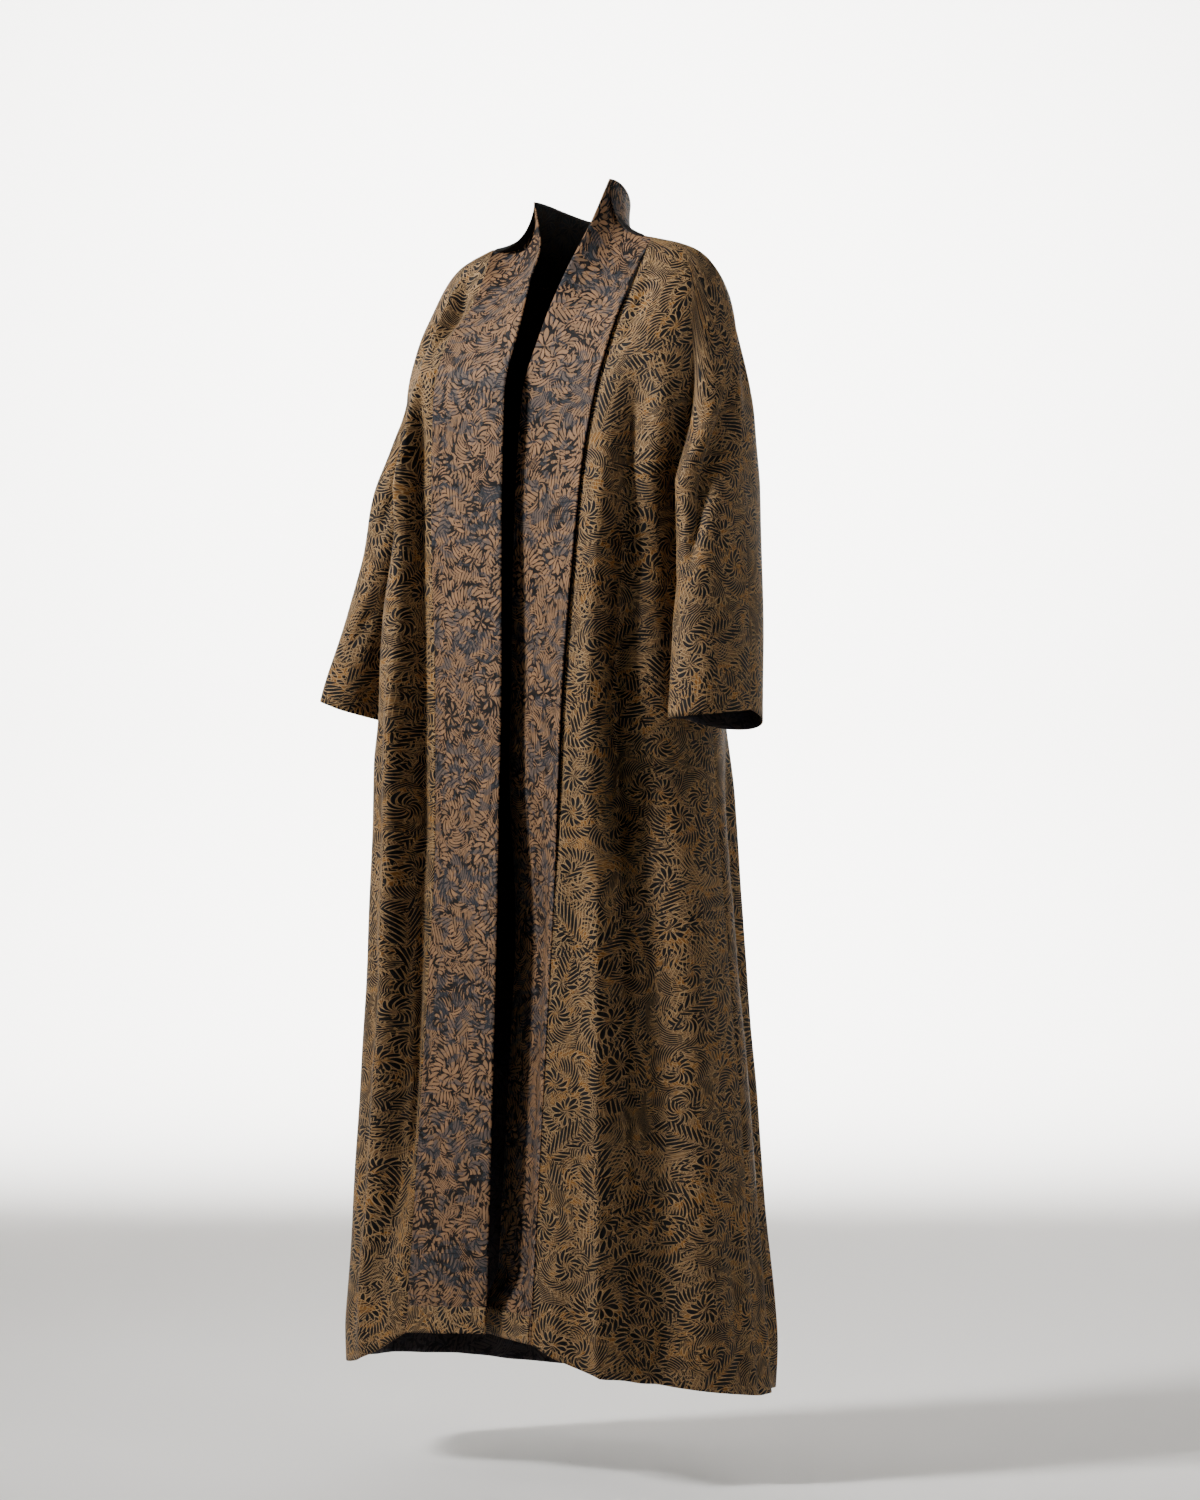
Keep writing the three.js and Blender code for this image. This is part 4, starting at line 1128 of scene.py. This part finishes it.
# %% Make the bands
for side in SIDES:
    wall = band_wall(side)
    across = way_across(wall)
    down = np.linalg.norm(np.diff(wall, axis=0), axis=-1).mean(axis=1)
    run = np.concatenate([[0], np.cumsum(down)])[:, None] + 0 * across
    grid = (wall, SIGN[side] * (across + BAND_U[side]), -run, side == LEFT)
    pieces[f"band_{side}"] = cloth_object(f"band_{side}_cloth", [grid], (reverse_cloth, face_inside_painted_shade))

# %% Make the turn-ups: the band's own foot, moved out, with the face of the cloth out
for side in SIDES:
    rows = band_front(side, HEM[side][0] + TURNUP_DEPTH * (1 - even(TURNUP_ROWS)), BAND_ACROSS)
    across = unit(rows[:, -1:] - rows[:, :1])
    outward = unit(np.cross((0.0, 0.0, 1.0), across)) * SIGN[side]
    inset = TURNUP_INSET * (1 - BAND_ACROSS)[None, :, None]
    wall = rows + outward * (SEAM_GAP + TURNUP_THICKNESS) + across * inset
    u = np.linalg.norm(wall - wall[:, :1], axis=-1)
    v = np.repeat(even(TURNUP_ROWS)[:, None] * TURNUP_DEPTH, len(BAND_ACROSS), axis=1)
    grid = (wall, SIGN[side] * (u + TURNUP_U[side]), -v, side == LEFT)
    pieces[f"turnup_{side}"] = cloth_object(
        f"turnup_{side}_cloth", [grid], (face_cloth, reverse_cloth), TURNUP_THICKNESS
    )

# %% Bind each piece to the frame, hide its solid, and print its flat cut in metres
for name, piece in pieces.items():
    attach(piece, "root")
    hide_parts(name)
    width, length, area = CUTS[name]
    print(name, "cut", width, "x", length, "m")

# %% [markdown]
# ## Studio
# A pale floor and wall, soft lights and a camera at the photograph's angle: level, 33 degrees round
# to the garment's left, five and a half metres away.

# %% A round studio: a floor that curves up into a wall
profile = [(0.001, 0.0), (3.0, 0.0), (STUDIO_RADIUS, 0.0)]
for angle in np.linspace(0, math.pi / 2, 13)[1:]:
    profile.append((STUDIO_RADIUS + STUDIO_BEND * math.sin(angle), STUDIO_BEND * (1 - math.cos(angle))))
profile.append((STUDIO_RADIUS + STUDIO_BEND, STUDIO_HEIGHT))
around = np.linspace(0, math.tau, STUDIO_SIDES, endpoint=False)
corners = [(r * math.cos(a), r * math.sin(a), FLOOR_Z + h) for r, h in profile for a in around]
count = len(around)
quads = [
    (i * count + j, i * count + (j + 1) % count, (i + 1) * count + (j + 1) % count, (i + 1) * count + j)
    for i in range(len(profile) - 1) for j in range(count)
]
stage_mesh = bpy.data.meshes.new("studio")
stage_mesh.from_pydata(corners, [], quads)
stage_mesh.shade_smooth()
studio = placed("studio", stage_mesh)
paint = plain("studio paint", (238, 236, 233), 0.9)
sockets = paint.node_tree.nodes["Principled BSDF"].inputs
sockets["Emission Color"].default_value = (1, 1, 1, 1)
sockets["Emission Strength"].default_value = ROOM_LIGHT
studio.data.materials.append(paint)
turn = math.radians(CAMERA_AZIMUTH)
right = Vector((math.cos(turn), math.sin(turn), 0))
away = Vector((-math.sin(turn), math.cos(turn), 0))

# %% Lights
def area_light(name, where, size, power, at=(0, 0, -0.65), spread=180):
    data = bpy.data.lights.new(name, "AREA")
    data.shape = "RECTANGLE"
    data.size, data.size_y = size
    data.energy = power
    data.spread = math.radians(spread)
    lamp = placed(name, data)
    lamp.location = where
    aim = Vector(at) - lamp.location
    lamp.rotation_euler = aim.to_track_quat("-Z", "Y").to_euler()


def studio_place(across, deep, up):
    return right * across + away * deep + Vector((0, 0, up))


area_light("key", studio_place(-3.0, -1.2, 1.7), (0.7, 0.9), KEY_POWER, (0, 0, -0.05), 62)
area_light("fill", studio_place(2.2, -1.6, 1.7), (0.8, 0.8), FILL_POWER, (0.25, 0, 0.05), 46)
area_light("back rim", studio_place(1.6, 1.2, 1.9), (1.4, 1.4), RIM_POWER)
area_light("edge", studio_place(-2.2, 1.1, 0.6), (0.8, 2.0), EDGE_POWER)
walls = (("backdrop", away, 1.0), ("wall left", -right, 0.08), ("wall right", right, 0.03))
for name, outward, share in walls:
    where, at = outward * 2.6 + Vector((0, 0, 3.2)), outward * 7.4 + Vector((0, 0, -0.6))
    area_light(name, where, (3.0, 0.8), BACKDROP_POWER * share, at, 100)
world = bpy.data.worlds.new("soft room")
world.use_nodes = True
sockets = world.node_tree.nodes["Background"].inputs
sockets["Color"].default_value = (1, 1, 1, 1)
sockets["Strength"].default_value = ROOM_LIGHT
bpy.context.scene.world = world

# %% Camera
data = bpy.data.cameras.new("photo view")
data.sensor_fit = "VERTICAL"
data.sensor_height = SENSOR
data.lens = SENSOR * CAMERA_DISTANCE / VIEW_HEIGHT
camera = placed("photo view", data)
camera.location = right * CAMERA_ASIDE - away * CAMERA_DISTANCE + Vector((0, 0, CAMERA_HEIGHT))
camera.rotation_euler = away.to_track_quat("-Z", "Y").to_euler()
bpy.context.scene.camera = camera
